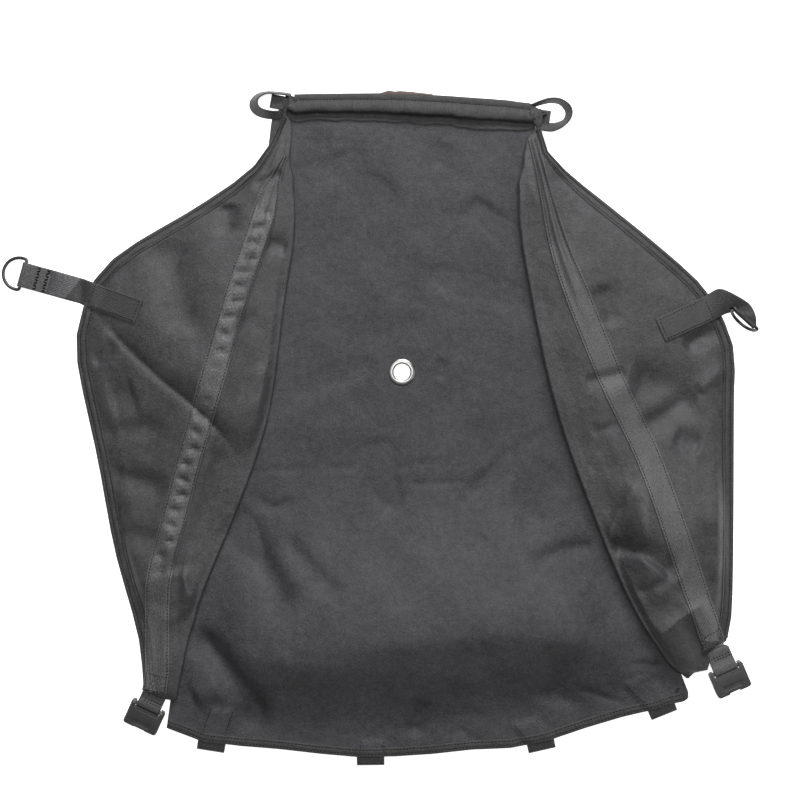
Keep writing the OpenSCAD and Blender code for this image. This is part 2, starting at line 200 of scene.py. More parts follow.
class Ground:
    """Finds how high the top of some meshes is."""

    def __init__(self, *objects):
        points, faces = [], []
        for o in objects:
            start = len(points)
            points += [v.co.copy() for v in o.data.vertices]
            faces += [[start + i for i in p.vertices] for p in o.data.polygons]
        self.tree = BVHTree.FromPolygons(points, faces)

    def height(self, x, y):
        hit = self.tree.ray_cast((x, y, 1), (0, 0, -1))[0]
        if hit is None:
            hit = self.tree.find_nearest((x, y, 0.01))[0]
        return hit.z

    def heights(self, plan):
        flat = np.asarray(plan).reshape(-1, 2)
        return np.array([self.height(x, y) for x, y in flat]).reshape(np.shape(plan)[:-1])


def joint(name):
    found = next(j for j in frame["joints"] if j["name"] == name)
    return Vector(found["pos_m"]), Vector(found["axis"]).normalized()


def mount(name):
    found = next(m for m in frame["record"]["mounts"] if m["name"] == name)
    return Vector(found["pos_m"]), Vector(found["axis"]).normalized()


# ---------------------------------------------------------------- curves and cloth shapes


def smooth(t):
    t = np.clip(t, 0, 1)
    return t * t * (3 - 2 * t)


def curve(points, count):
    """A smooth line through points, in even steps."""
    p = np.array([list(q) for q in points], float)
    if len(p) < 3:
        t = np.linspace(0, 1, count)[:, None]
        return p[0] + (p[-1] - p[0]) * t
    ends = np.vstack([2 * p[0] - p[1], p, 2 * p[-1] - p[-2]])
    fine = []
    for i in range(len(p) - 1):
        a, b, c, d = ends[i : i + 4]
        for t in np.linspace(0, 1, 24, endpoint=False):
            fine.append(
                0.5 * (2 * b + (c - a) * t + (2 * a - 5 * b + 4 * c - d) * t * t
                       + (3 * b - a - 3 * c + d) * t**3)
            )
    fine.append(p[-1])
    return even(np.array(fine), count)


def even(points, count):
    """The same line in even steps."""
    steps = np.r_[0, np.cumsum(np.linalg.norm(np.diff(points, axis=0), axis=1))]
    wanted = np.linspace(0, steps[-1], count)
    return np.stack([np.interp(wanted, steps, points[:, k]) for k in range(points.shape[1])], 1)


def line_length(points):
    return float(np.linalg.norm(np.diff(points, axis=0), axis=1).sum())


def aside(points):
    """Unit vectors to the left of a plan line."""
    ahead = np.gradient(points[:, :2], axis=0)
    ahead /= np.linalg.norm(ahead, axis=1)[:, None]
    return np.stack([-ahead[:, 1], ahead[:, 0]], 1)


def from_line(plan, line):
    """Distance of each place from a line, positive on its left, and the share along the line."""
    flat = plan.reshape(-1, 2)
    best = np.full(len(flat), 1e9)
    signed, share = np.zeros(len(flat)), np.zeros(len(flat))
    last = len(line) - 1
    for i in range(last):
        a, ab = line[i], line[i + 1] - line[i]
        t = np.clip(((flat - a) @ ab) / (ab @ ab), 0, 1)
        off = flat - a - t[:, None] * ab
        far = np.linalg.norm(off, axis=1)
        near = far < best
        turn = ab[0] * off[:, 1] - ab[1] * off[:, 0]
        best[near] = far[near]
        signed[near] = np.where(turn >= 0, far, -far)[near]
        share[near] = ((i + t) / last)[near]
    return signed.reshape(plan.shape[:-1]), share.reshape(plan.shape[:-1])


def folded(plan, folds):
    """Height that the folds add at each place."""
    total = np.zeros(plan.shape[:-1])
    for points, height, left, right, kind in folds:
        signed, share = from_line(plan, curve(np.array(points) * MM, 16))
        q = np.abs(signed) / (np.where(signed > 0, left, right) * MM)
        if kind == "soft":
            shape = np.exp(-q * q)
        elif kind == "sharp":
            shape = np.exp(-q)
        else:
            lip = 0.5 * (1 - np.exp(-7 * q)) * np.exp(-q)
            shape = np.where(signed > 0, q * np.exp(1 - q), lip)
        total += height * MM * shape * smooth(share / 0.22) * smooth((1 - share) / 0.22)
    return total


def crumpled(plan, size, height, seed):
    """Gentle unevenness of cloth that was lying folded."""
    flat = plan.reshape(-1, 2) / size
    z = [noise.fractal((x, y, seed), 0.7, 2.0, 3) for x, y in flat]
    return height * np.array(z).reshape(plan.shape[:-1])


def blurred(z, times):
    for _ in range(times):
        p = np.pad(z, 1, mode="reflect", reflect_type="odd")
        z = (p[:-2, 1:-1] + p[2:, 1:-1] + p[1:-1, :-2] + p[1:-1, 2:] + 4 * z) / 8
    return z


# ---------------------------------------------------------------- meshes


def only(obj):
    bpy.ops.object.select_all(action="DESELECT")
    obj.select_set(True)
    bpy.context.view_layer.objects.active = obj


def new_object(name, points, faces, flat=None):
    mesh = bpy.data.meshes.new(name)
    mesh.from_pydata([tuple(p) for p in points], [], faces)
    if flat is not None:
        layer = mesh.uv_layers.new(name="cloth")
        corners = np.zeros(len(mesh.loops), int)
        mesh.loops.foreach_get("vertex_index", corners)
        layer.data.foreach_set("uv", flat[corners].ravel())
    obj = bpy.data.objects.new(name, mesh)
    bpy.context.scene.collection.objects.link(obj)
    return obj


def grid_object(name, grid, flat=None, upward=True, skip=None):
    """A sheet over rows of points, with its place on the flat cloth, in metres, as UV."""
    rows, columns = grid.shape[:2]
    if flat is None:
        middle = grid[:, columns // 2]
        along = np.r_[0, np.cumsum(np.linalg.norm(np.diff(middle, axis=0), axis=1))]
        row = grid[rows // 2]
        across = np.r_[0, np.cumsum(np.linalg.norm(np.diff(row, axis=0), axis=1))]
        flat = np.stack(np.meshgrid(across - across[-1] / 2, along), -1)
    faces = []
    for j in range(rows - 1):
        for i in range(columns - 1):
            if skip is not None and skip[j, i]:
                continue
            a = j * columns + i
            faces.append((a, a + columns, a + columns + 1, a + 1))
    obj = new_object(name, grid.reshape(-1, 3), faces, flat.reshape(-1, 2))
    if upward:
        total = sum(p.normal.z * p.area for p in obj.data.polygons)
        if total < 0:
            obj.data.flip_normals()
    return obj


def thicken(obj, thick, offset=-1.0, edge=0.3, angle=50):
    """Gives a sheet its thickness and softens its cut edges."""
    only(obj)
    solid = obj.modifiers.new("thickness", "SOLIDIFY")
    solid.thickness = thick
    solid.offset = offset
    bpy.ops.object.modifier_apply(modifier=solid.name)
    if edge:
        round_edges(obj, edge * MM, angle)
    bpy.ops.object.shade_smooth_by_angle(angle=math.radians(angle))
    return obj


def round_edges(obj, width, angle=50, segments=2):
    only(obj)
    bevel = obj.modifiers.new("edges", "BEVEL")
    bevel.width = width
    bevel.segments = segments
    bevel.limit_method = "ANGLE"
    bevel.angle_limit = math.radians(angle)
    bevel.use_clamp_overlap = True
    bpy.ops.object.modifier_apply(modifier=bevel.name)


def ribbon(name, path, sides, width, thick, across=6, shape=None, edge=0.35):
    """Webbing along a path, with a unit vector across it at each point; shape lifts it."""
    path, sides = np.array([list(p) for p in path]), np.array([list(s) for s in sides])
    ahead = np.gradient(path, axis=0)
    normals = np.cross(sides, ahead)
    normals /= np.linalg.norm(normals, axis=1)[:, None]
    s = np.linspace(-0.5, 0.5, across + 1)
    widths = np.broadcast_to(width, len(path))[:, None, None]
    grid = path[:, None] + sides[:, None] * s[None, :, None] * widths
    if shape is not None:
        steps = np.r_[0, np.cumsum(np.linalg.norm(np.diff(path, axis=0), axis=1))]
        grid[..., 2] += shape(s[None], steps[:, None])
    obj = grid_object(name, grid, upward=False)
    return thicken(obj, thick, 0.0, edge)


def between(name, edges, thick, rows, across=10):
    """Webbing between two edge lines, given as pairs of points in metres."""
    one, other = (curve([pair[k] for pair in edges], rows) for k in (0, 1))
    s = np.linspace(0, 1, across + 1)[None, :, None]
    obj = grid_object(name, one[:, None] * (1 - s) + other[:, None] * s, upward=False)
    return thicken(obj, thick, 0.0, 0.3)


def laid_strip(name, line, width, ground, lift, thick, across=12, shape=None):
    """Webbing or cloth sewn down along a plan line; shape adds height across and along it."""
    side = aside(line)
    s = np.linspace(-0.5, 0.5, across + 1)
    widths = np.broadcast_to(width, len(line))
    plan = line[:, None, :2] + side[:, None] * (s[None] * widths[:, None])[..., None]
    z = ground.heights(plan) + lift + thick
    if shape is not None:
        steps = np.r_[0, np.cumsum(np.linalg.norm(np.diff(line[:, :2], axis=0), axis=1))]
        z = z + shape(s[None], steps[:, None], plan)
    obj = grid_object(name, np.dstack([plan, z]))
    return thicken(obj, thick, -1.0, 0.3)


def paint(obj, *materials):
    obj.data.materials.clear()
    for m in materials:
        obj.data.materials.append(m)


# ---------------------------------------------------------------- materials


class Nodes:
    """Small helper that adds shader nodes and joins them."""

    def __init__(self, name):
        self.material = bpy.data.materials.new(name)
        self.material.use_nodes = True
        self.tree = self.material.node_tree
        self.shader = self.tree.nodes["Principled BSDF"]

    def add(self, kind, **sockets):
        node = self.tree.nodes.new(kind)
        for key, value in sockets.items():
            if key.startswith("_"):
                setattr(node, key[1:], value)
            else:
                self.put(node, key.replace("_", " "), value)
        return node

    def put(self, node, socket, value):
        target = node.inputs[int(socket)] if socket.isdigit() else node.inputs[socket]
        if isinstance(value, bpy.types.NodeSocket):
            self.tree.links.new(value, target)
        else:
            target.default_value = value

    def math(self, operation, a, b=0.0):
        node = self.add("ShaderNodeMath", _operation=operation)
        self.put(node, "0", a)
        self.put(node, "1", b)
        return node.outputs[0]

    def ramp(self, value, low, high, start=0.0, end=1.0):
        """Maps a value between start and end to low and high."""
        node = self.add("ShaderNodeMapRange")
        for socket, number in (("0", value), ("1", start), ("2", end), ("3", low), ("4", high)):
            self.put(node, socket, number)
        return node.outputs[0]

    def noise(self, place, scale, detail=3.0, rough=0.55):
        node = self.add("ShaderNodeTexNoise", Scale=scale, Detail=detail, Roughness=rough)
        self.put(node, "Vector", place)
        return node.outputs["Fac"]

    def wave(self, place, scale, direction="X", distortion=0.0, detail=0.0):
        node = self.add(
            "ShaderNodeTexWave", _wave_type="BANDS", _bands_direction=direction,
            Scale=scale, Distortion=distortion, Detail=detail,
        )
        self.put(node, "Vector", place)
        return node.outputs["Fac"]

    def shade(self, colour, amount):
        """The colour made lighter or darker by a number around one."""
        node = self.add("ShaderNodeVectorMath", _operation="SCALE")
        node.inputs[0].default_value = colour[:3]
        self.put(node, "Scale", amount)
        self.put(self.shader, "Base Color", node.outputs[0])

    def bump(self, height, distance, strength=1.0, below=None):
        node = self.add("ShaderNodeBump", Strength=strength, Distance=distance)
        self.put(node, "Height", height)
        if below is not None:
            self.put(node, "Normal", below)
        return node.outputs[0]

    def finish(self, **sockets):
        for key, value in sockets.items():
            self.put(self.shader, key.replace("_", " "), value)
        return self.material


def period(length):
    """Scale of a banded wave whose bands are that far apart, in metres."""
    return 0.314159 / length


def cloth_material(name, colour, twill, sheen, rough):
    """Black coated twill: fine diagonal ribs, slubs, and slight uneven fading."""
    n = Nodes(name)
    place = n.add("ShaderNodeTexCoord").outputs["UV"]
    turned = n.add("ShaderNodeMapping", Rotation=(0, 0, math.radians(58)))
    n.put(turned, "Vector", place)
    ribs = n.wave(turned.outputs[0], period(twill), "X", 0.6, 1.0)
    picks = n.wave(place, period(twill * 0.55), "Y", 0.4, 1.0)
    slubs = n.noise(place, 520, 3.0, 0.8)
    grain = n.noise(place, 1100, 2.0, 0.6)
    mottle = n.noise(place, 150, 4.0, 0.75)
    cloudy = n.noise(place, 22, 4.0, 0.65)
    tone = n.math("ADD", n.ramp(slubs, 0.5, 1.5, 0.3, 0.7), n.ramp(cloudy, -0.22, 0.22, 0.3, 0.7))
    tone = n.math("ADD", tone, n.ramp(grain, -0.45, 0.45, 0.3, 0.7))
    tone = n.math("ADD", tone, n.ramp(mottle, -0.34, 0.34, 0.3, 0.7))
    tone = n.math("ADD", tone, n.ramp(ribs, -0.09, 0.09))
    n.shade(colour, tone)
    weave = n.math("ADD", n.math("MULTIPLY", ribs, 0.7), n.math("MULTIPLY", picks, 0.3))
    wrinkles = n.noise(place, 55, 4.0, 0.6)
    normal = n.bump(wrinkles, 0.0020, 0.45)
    normal = n.bump(mottle, 0.0014, 0.35, normal)
    normal = n.bump(slubs, 0.0011, 0.6, normal)
    normal = n.bump(weave, 0.00014, 0.5, normal)
    n.put(n.shader, "Roughness", n.ramp(slubs, rough - 0.06, rough + 0.08, 0.3, 0.7))
    return n.finish(
        Normal=normal, Sheen_Weight=sheen, Sheen_Roughness=0.42,
        Sheen_Tint=(0.75, 0.76, 0.8, 1), Specular_IOR_Level=0.36,
    )


def webbing_material(name, colour, rib, sheen, rough, highlight_start=None):
    """Woven webbing: ribs along it, picks across it, a tighter edge, and an optional painted highlight band on the
    free end.
    """
    n = Nodes(name)
    place = n.add("ShaderNodeTexCoord").outputs["UV"]
    split = n.add("ShaderNodeSeparateXYZ")
    n.put(split, "Vector", place)
    ribs = n.wave(place, period(rib), "X", 0.15)
    picks = n.wave(place, period(rib * 0.75), "Y", 0.25)
    yarn = n.noise(place, 480, 3.0, 0.75)
    wear = n.noise(place, 60, 3.0, 0.6)
    edge = n.ramp(n.math("ABSOLUTE", split.outputs[0]), 0.0, 1.0, 10.6 * MM, 11.8 * MM)
    weave = n.math("MULTIPLY", n.ramp(ribs, 0.35, 1.0), n.ramp(picks, 0.45, 1.0))
    tone = n.math("ADD", n.ramp(weave, 0.66, 1.22), n.ramp(yarn, -0.6, 0.6, 0.3, 0.7))
    tone = n.math("ADD", tone, n.ramp(wear, -0.1, 0.14, 0.3, 0.7))
    tone = n.math("ADD", tone, n.math("MULTIPLY", edge, 0.1))
    if highlight_start is not None:
        # Painted highlight: the free end is painted lighter from a slanted line onwards, standing in for the light
        # on its twist, less so under the stitches.
        slanted = n.math("ADD", split.outputs[1], n.math("MULTIPLY", split.outputs[0], 0.45))
        painted_highlight = n.ramp(slanted, 0.0, 2.4, highlight_start, highlight_start + 1.2 * MM)
        kept = n.ramp(split.outputs[1], 0.0, -1.2, highlight_start + 17 * MM, highlight_start + 23 * MM)
        highlight_gain = n.math("ADD", 1.0, n.math("ADD", painted_highlight, kept))
        tone = n.math("MULTIPLY", tone, highlight_gain)
    n.shade(colour, tone)
    normal = n.bump(yarn, 0.0009, 0.6)
    normal = n.bump(weave, 0.0004, 0.8, normal)
    n.put(n.shader, "Roughness", n.ramp(yarn, rough - 0.08, rough + 0.1, 0.3, 0.7))
    return n.finish(
        Normal=normal, Sheen_Weight=sheen, Sheen_Roughness=0.35,
        Sheen_Tint=(0.8, 0.8, 0.84, 1), Specular_IOR_Level=0.5,
    )


def plastic_material(name, colour):
    """Moulded nylon with a fine spark texture and a slightly uneven tone and gloss."""
    n = Nodes(name)
    place = n.add("ShaderNodeTexCoord").outputs["Object"]
    spark = n.noise(place, 2400, 2.0, 0.5)
    flow = n.noise(place, 90, 3.0, 0.5)
    n.shade(colour, n.math("ADD", n.ramp(flow, 0.9, 1.1, 0.3, 0.7), n.ramp(spark, -0.05, 0.05)))
    n.put(n.shader, "Roughness", n.ramp(flow, 0.42, 0.56, 0.3, 0.7))
    return n.finish(Normal=n.bump(spark, 0.00012, 0.35), Specular_IOR_Level=0.55)


def nickel_material(name, colour):
    """Nickel plate with fine scratches and a slight haze."""
    n = Nodes(name)
    place = n.add("ShaderNodeTexCoord").outputs["Object"]
    haze = n.noise(place, 150, 4.0, 0.6)
    scratch = n.noise(place, 2600, 2.0, 0.6)
    n.shade(colour, n.ramp(haze, 0.88, 1.08, 0.3, 0.7))
    n.put(n.shader, "Roughness", n.ramp(haze, 0.28, 0.46, 0.3, 0.7))
    return n.finish(Normal=n.bump(scratch, 0.00006, 0.3), Metallic=1.0)


def thread_material(name, colour):
    n = Nodes(name)
    place = n.add("ShaderNodeTexCoord").outputs["Object"]
    ply = n.noise(place, 1800, 2.0, 0.6)
    n.shade(colour, n.ramp(ply, 0.7, 1.35, 0.3, 0.7))
    return n.finish(
        Normal=n.bump(ply, 0.0002, 0.4), Roughness=0.8, Specular_IOR_Level=0.15,
        Sheen_Weight=0.03, Sheen_Roughness=0.4,
    )


def label_material(name, colour):
    """Blank woven tape."""
    n = Nodes(name)
    place = n.add("ShaderNodeTexCoord").outputs["UV"]
    warp = n.wave(place, period(0.0007), "X")
    weft = n.wave(place, period(0.0009), "Y")
    slub = n.noise(place, 500, 2.0, 0.6)
    weave = n.math("MULTIPLY", warp, weft)
    n.shade(colour, n.math("ADD", n.ramp(slub, 0.8, 1.2, 0.3, 0.7), n.ramp(weave, -0.1, 0.12)))
    return n.finish(Normal=n.bump(weave, 0.00012, 0.6), Roughness=0.7, Sheen_Weight=0.2)


def floor_material():
    n = Nodes("floor_white")
    place = n.add("ShaderNodeTexCoord").outputs["Object"]
    n.shade((0.93, 0.93, 0.93), n.ramp(n.noise(place, 6, 2.0), 0.99, 1.01))
    return n.finish(
        Roughness=0.9, Specular_IOR_Level=0.1, Emission_Color=(1, 1, 1, 1), Emission_Strength=0.75
    )


def finish_named(name):
    """The material of that name, made the first time that it is asked for."""
    found = bpy.data.materials.get(name)
    if found is not None:
        return found
    p = bpy.context.scene.skirt_finish
    makers = {
        "deck_twill": lambda: cloth_material(name, p.cloth, p.twill, p.sheen, 0.64),
        "wing_twill": lambda: cloth_material(name, p.wing, p.twill, p.sheen, 0.5),
        "hem_twill": lambda: cloth_material(name, p.hem, p.twill, p.sheen, 0.58),
        "left_webbing": lambda: webbing_material(name, p.webbing, p.rib, p.sheen, 0.36),
        "right_webbing": lambda: webbing_material(name, p.webbing, p.rib, p.sheen * 2, 0.5),
        "tab_webbing": lambda: webbing_material(name, p.tab, p.rib, p.sheen * 0.6, 0.5),
        # A copy of the tab webbing with a painted highlight on its free end.
        "tab_webbing_painted_highlight": lambda: webbing_material(
            name, p.tab, p.rib, p.sheen * 0.6, 0.5, 76 * MM),
        # The casing is of the deck's cloth; its darker colour is painted shade.
        "casing_twill_painted_shade": lambda: cloth_material(name, p.casing, p.twill, p.sheen, 0.6),
        "buckle_plastic": lambda: plastic_material(name, p.plastic),
        "nickel_plate": lambda: nickel_material(name, p.nickel),
        "dark_plate": lambda: nickel_material(name, p.dark_plate),
        "black_thread": lambda: thread_material(name, p.thread),
        "tape": lambda: label_material(name, p.tape),
    }
    return makers[name]()


# ---------------------------------------------------------------- sewing


def stitch_shape():
    """One stitch along X, one unit long and one unit thick, in a few dozen faces."""
    points, faces, around = [(-0.5, 0, 0)], [], 6
    for x, r in ((-0.4, 0.36), (0.0, 0.5), (0.4, 0.36)):
        for k in range(around):
            a = 2 * math.pi * k / around
            points.append((x, r * math.cos(a), r * math.sin(a)))
    points.append((0.5, 0, 0))
    for k in range(around):
        m = (k + 1) % around
        faces.append((0, 1 + m, 1 + k))
        for ring in range(2):
            a = 1 + ring * around
            faces.append((a + k, a + m, a + around + m, a + around + k))
        last = 1 + 2 * around
        faces.append((last + k, last + m, len(points) - 1))
    return np.array(points), faces


def sew(name, lines, ground, lift=0.0, pitch=None):
    """Rows of thread stitches along plan lines, lying on the cloth."""
    p = bpy.context.scene.skirt_sizes
    pitch = pitch * MM if pitch else p.stitch
    shape, cell = stitch_shape()
    points, faces = [], []
    for line in lines:
        line = np.asarray(line)[:, :2]
        count = max(2, int(line_length(line) / pitch) + 1)
        place = even(line, 2 * count)
        z = ground.heights(place) + lift * MM
        for k in range(count - 1):
            a = Vector((*place[2 * k], z[2 * k]))
            b = Vector((*place[2 * k + 1], z[2 * k + 1]))
            if (b - a).length < 0.3 * pitch or (b - a).length > pitch:
                continue
            ahead = (b - a).normalized()
            side = UP.cross(ahead).normalized()
            top = ahead.cross(side)
            turn = np.array([ahead, side, top])
            length = (b - a).length * 1.35
            size = np.array([length, 0.95 * MM, 0.6 * MM])
            middle = np.array((a + b) / 2) + np.array(top) * 0.1 * MM
            start = len(points)
            points += list((shape * size) @ turn + middle)
            faces += [tuple(start + i for i in f) for f in cell]
    obj = new_object(name, points, faces)
    paint(obj, finish_named("black_thread"))
    for face in obj.data.polygons:
        face.use_smooth = True
    return obj


def tack(name, bars, ground):
    """Thick bars of thread, one for each pair of places."""
    shape, cell = stitch_shape()
    points, faces = [], []
    for a, b in bars:
        a, b = (Vector((*q, ground.height(*q))) for q in (a, b))
        ahead = (b - a).normalized()
        side = UP.cross(ahead).normalized()
        turn = np.array([ahead, side, ahead.cross(side)])
        start = len(points)
        size = np.array([(b - a).length, 1.9 * MM, 1.0 * MM])
        points += list((shape * size) @ turn + np.array((a + b) / 2) + [0, 0, 0.15 * MM])
        faces += [tuple(start + i for i in f) for f in cell]
    obj = new_object(name, points, faces)
    paint(obj, finish_named("black_thread"))
    for face in obj.data.polygons:
        face.use_smooth = True
    return obj


# ---------------------------------------------------------------- pieces

made = {}


def deck_edges():
    """The deck's four edges in plan, from its CAD node."""
    o = Outline("deck_panel")
    corners = [o.corner(-1, 1), o.corner(1, 1), o.corner(-1, -1), o.corner(1.4, -1)]
    top_left, top_right, low_left, low_right = corners

    def side(a, b, index):
        ys = np.linspace(a[1], b[1], 200)
        line = np.array([(o.x_range(y)[index], y) for y in ys])
        line[0], line[-1] = a, b
        return line

    def end(a, b, index):
        xs = np.linspace(a[0], b[0], 200)
        line = np.array([(x, o.y_range(x)[index]) for x in xs])
        line[0], line[-1] = a, b
        return line

    return (
        side(top_left, low_left, 0), side(top_right, low_right, 1),
        end(top_left, top_right, 1), end(low_left, low_right, 0),
    )


def rounded_corner(one, other, radius):
    """Pulls in the shared last point of two lines, and the points near it."""
    corner = one[-1].copy()
    inward = (one[-1] - one[-30]) + (other[-1] - other[-30])
    inward = -inward / np.linalg.norm(inward)
    moved = []
    for line in (one, other):
        near = np.linalg.norm(line - corner, axis=1)
        pull = np.clip(1 - near / radius, 0, 1) ** 2
        moved.append(line + inward * pull[:, None] * 0.41 * radius)
    return moved


# Length and lean of the stitching of each bottom loop on the deck, in millimetres.
LOOP_LEGS = [(36, 6), (17, 3), (24, -12), (38, -16)]


def build_deck():
    p = bpy.context.scene.skirt_sizes
    rows, columns = 214, 168
    left, right, top, bottom = deck_edges()
    # The lower right corner is full and rounded.
    near = np.linalg.norm(right - right[-1], axis=1)
    right = right + (1 - smooth(near / 0.03))[:, None] * np.array([-1.0, -7.5]) * MM
    near = np.linalg.norm(bottom - bottom[-1], axis=1)
    bottom = bottom + (1 - smooth(near / 0.035))[:, None] * np.array([-1.0, -7.5]) * MM
    bottom, right = rounded_corner(bottom, right, 9 * MM)
    left, right = even(left, rows), even(right, rows)
    top, bottom = even(top, columns), even(bottom, columns)
    u = np.linspace(0, 1, columns)[None, :, None]
    v = np.linspace(0, 1, rows)[:, None, None]
    plan = (
        left[:, None] * (1 - u) + right[:, None] * u + top[None] * (1 - v) + bottom[None] * v
        - (left[0] * (1 - u) + right[0] * u) * (1 - v)
        - (left[-1] * (1 - u) + right[-1] * u) * v
    )
    base = blurred(Ground(frame["nodes"]["deck_panel"]).heights(plan), 26)
    bore, _ = mount("grommet_bore")
    centre = np.array(bore[:2])
    away = np.linalg.norm(plan - centre, axis=-1)
    edge = np.minimum(v[..., 0] * 22, (1 - v[..., 0]) * 26)
    calm = smooth((away - 15 * MM) / (16 * MM)) * (0.25 + 0.75 * smooth(edge))
    relief = folded(plan, DECK_FOLDS) * p.deck_folds
    pads = np.zeros(plan.shape[:-1])
    relief += crumpled(plan, 0.1, 2.3 * MM, 3.1) + crumpled(plan, 0.032, 0.5 * MM, 8.4)
    for (place, ahead, _), (long, lean) in zip(hem_loops(), LOOP_LEGS):
        local = (plan - place) @ np.stack([ahead, [-ahead[1], ahead[0]]], 1)
        off = np.abs(local[..., 0] - lean / long * local[..., 1])
        pad = smooth((14 * MM - off) / (3 * MM)) * smooth((long * MM - local[..., 1]) / (4 * MM))
        pads = np.maximum(pads, 2.3 * MM * pad)
    z = np.maximum(base + relief * calm, 2.6 * MM) + pads
    hole = 9.6 * MM
    inside = away < hole
    skip = inside[:-1, :-1] & inside[1:, :-1] & inside[:-1, 1:] & inside[1:, 1:]
    kept = np.pad(~skip, 1)
    used = kept[:-1, :-1] | kept[1:, :-1] | kept[:-1, 1:] | kept[1:, 1:]
    touching = inside & used
    out = (plan - centre) / away[..., None]
    plan[touching] = (centre + out * hole)[touching]
    deck = grid_object("deck_cloth", np.dstack([plan, z]), plan.copy(), skip=skip)
    tidy_loose(deck)
    thicken(deck, p.cloth, -1.0, 0.0)
    paint(deck, finish_named("deck_twill"))
    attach(deck, "deck")
    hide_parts("deck_panel")
    made["deck"] = deck
    made["bottom_edge"] = bottom
    made["on_deck"] = Ground(deck)


def tidy_loose(obj):
    """Removes points that no face uses."""
    only(obj)
    bpy.ops.object.mode_set(mode="EDIT")
    bpy.ops.mesh.select_all(action="SELECT")
    bpy.ops.mesh.delete_loose()
    bpy.ops.object.mode_set(mode="OBJECT")


def hem_loops():
    """Place on the hem, direction along it and box of each bottom loop."""
    o = Outline("deck_panel")
    found = []
    for k in range(1, 5):
        low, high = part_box(f"bottom_loop_{k}")
        eye, _ = mount(f"bottom_loop_{k}_eye")
        x = eye.x
        a, b = o.y_range(x - 0.0125)[0], o.y_range(x + 0.0125)[0]
        ahead = np.array([0.025, b - a])
        ahead /= np.linalg.norm(ahead)
        found.append((np.array([x, o.y_range(x)[0]]), ahead, (low, high)))
    return found


def wing_lines(side):
    """Rows of a wing: y, its inner rolled edge and its outer edge."""
    way = WAY[side]
    root, panel = Outline(side + "_wing_root"), Outline(side + "_wing_panel")
    inner = 0 if way > 0 else 1
    low, high = panel.points[:, 1].min(), panel.points[:, 1].max()
    root_low, root_high = root.points[:, 1].min(), root.points[:, 1].max()
    rows = []
    for y in np.linspace(high - 0.3 * MM, low + 0.3 * MM, 196):
        spread = panel.x_range(y)
        held = min(max(y, root_low + MM), root_high - MM)
        gap = abs(root.x_range(held)[inner] - panel.x_range(held)[inner])
        beyond = max(y - root_high, root_low - y, 0)
        ridge = spread[inner] - way * gap * float(smooth(1 - beyond / (26 * MM)))
        rows.append((y, ridge, spread[1 - inner]))
    rows = np.array(rows)
    if side == "right":
        # The cloth runs on under the strap's end.
        low = rows[:, 0] < -0.212
        reach = np.interp(rows[:, 0], [-0.245, -0.243, -0.226, -0.212], [0, 0.327, 0.333, 0.348])
        rows[low, 2] = np.maximum(rows[low, 2], reach[low])
    # A narrow neck runs on from the wing, over the end of the casing.
    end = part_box("top_casing")[0 if side == "left" else 1].x
    tip = {"left": (0.3285, end - 1 * MM, end - 8 * MM),
           "right": (0.3195, end - 18 * MM, end - 7.5 * MM)}[side]
    share = np.linspace(1, 0, 9)[:-1, None]
    # How far the neck's inner edge bows, next to its outer one.
    bow = {"left": 1, "right": -3.4}[side]
    bend = np.sin(share * math.pi) * 1.5 * MM * np.array([[0, bow, 1]])
    neck = rows[:1] + (np.array([tip]) - rows[:1]) * share + bend
    rows = np.vstack([neck, rows])
    for _ in range(3):
        rows[1:-1, 1] = (rows[:-2, 1] + 2 * rows[1:-1, 1] + rows[2:, 1]) / 4
    return rows


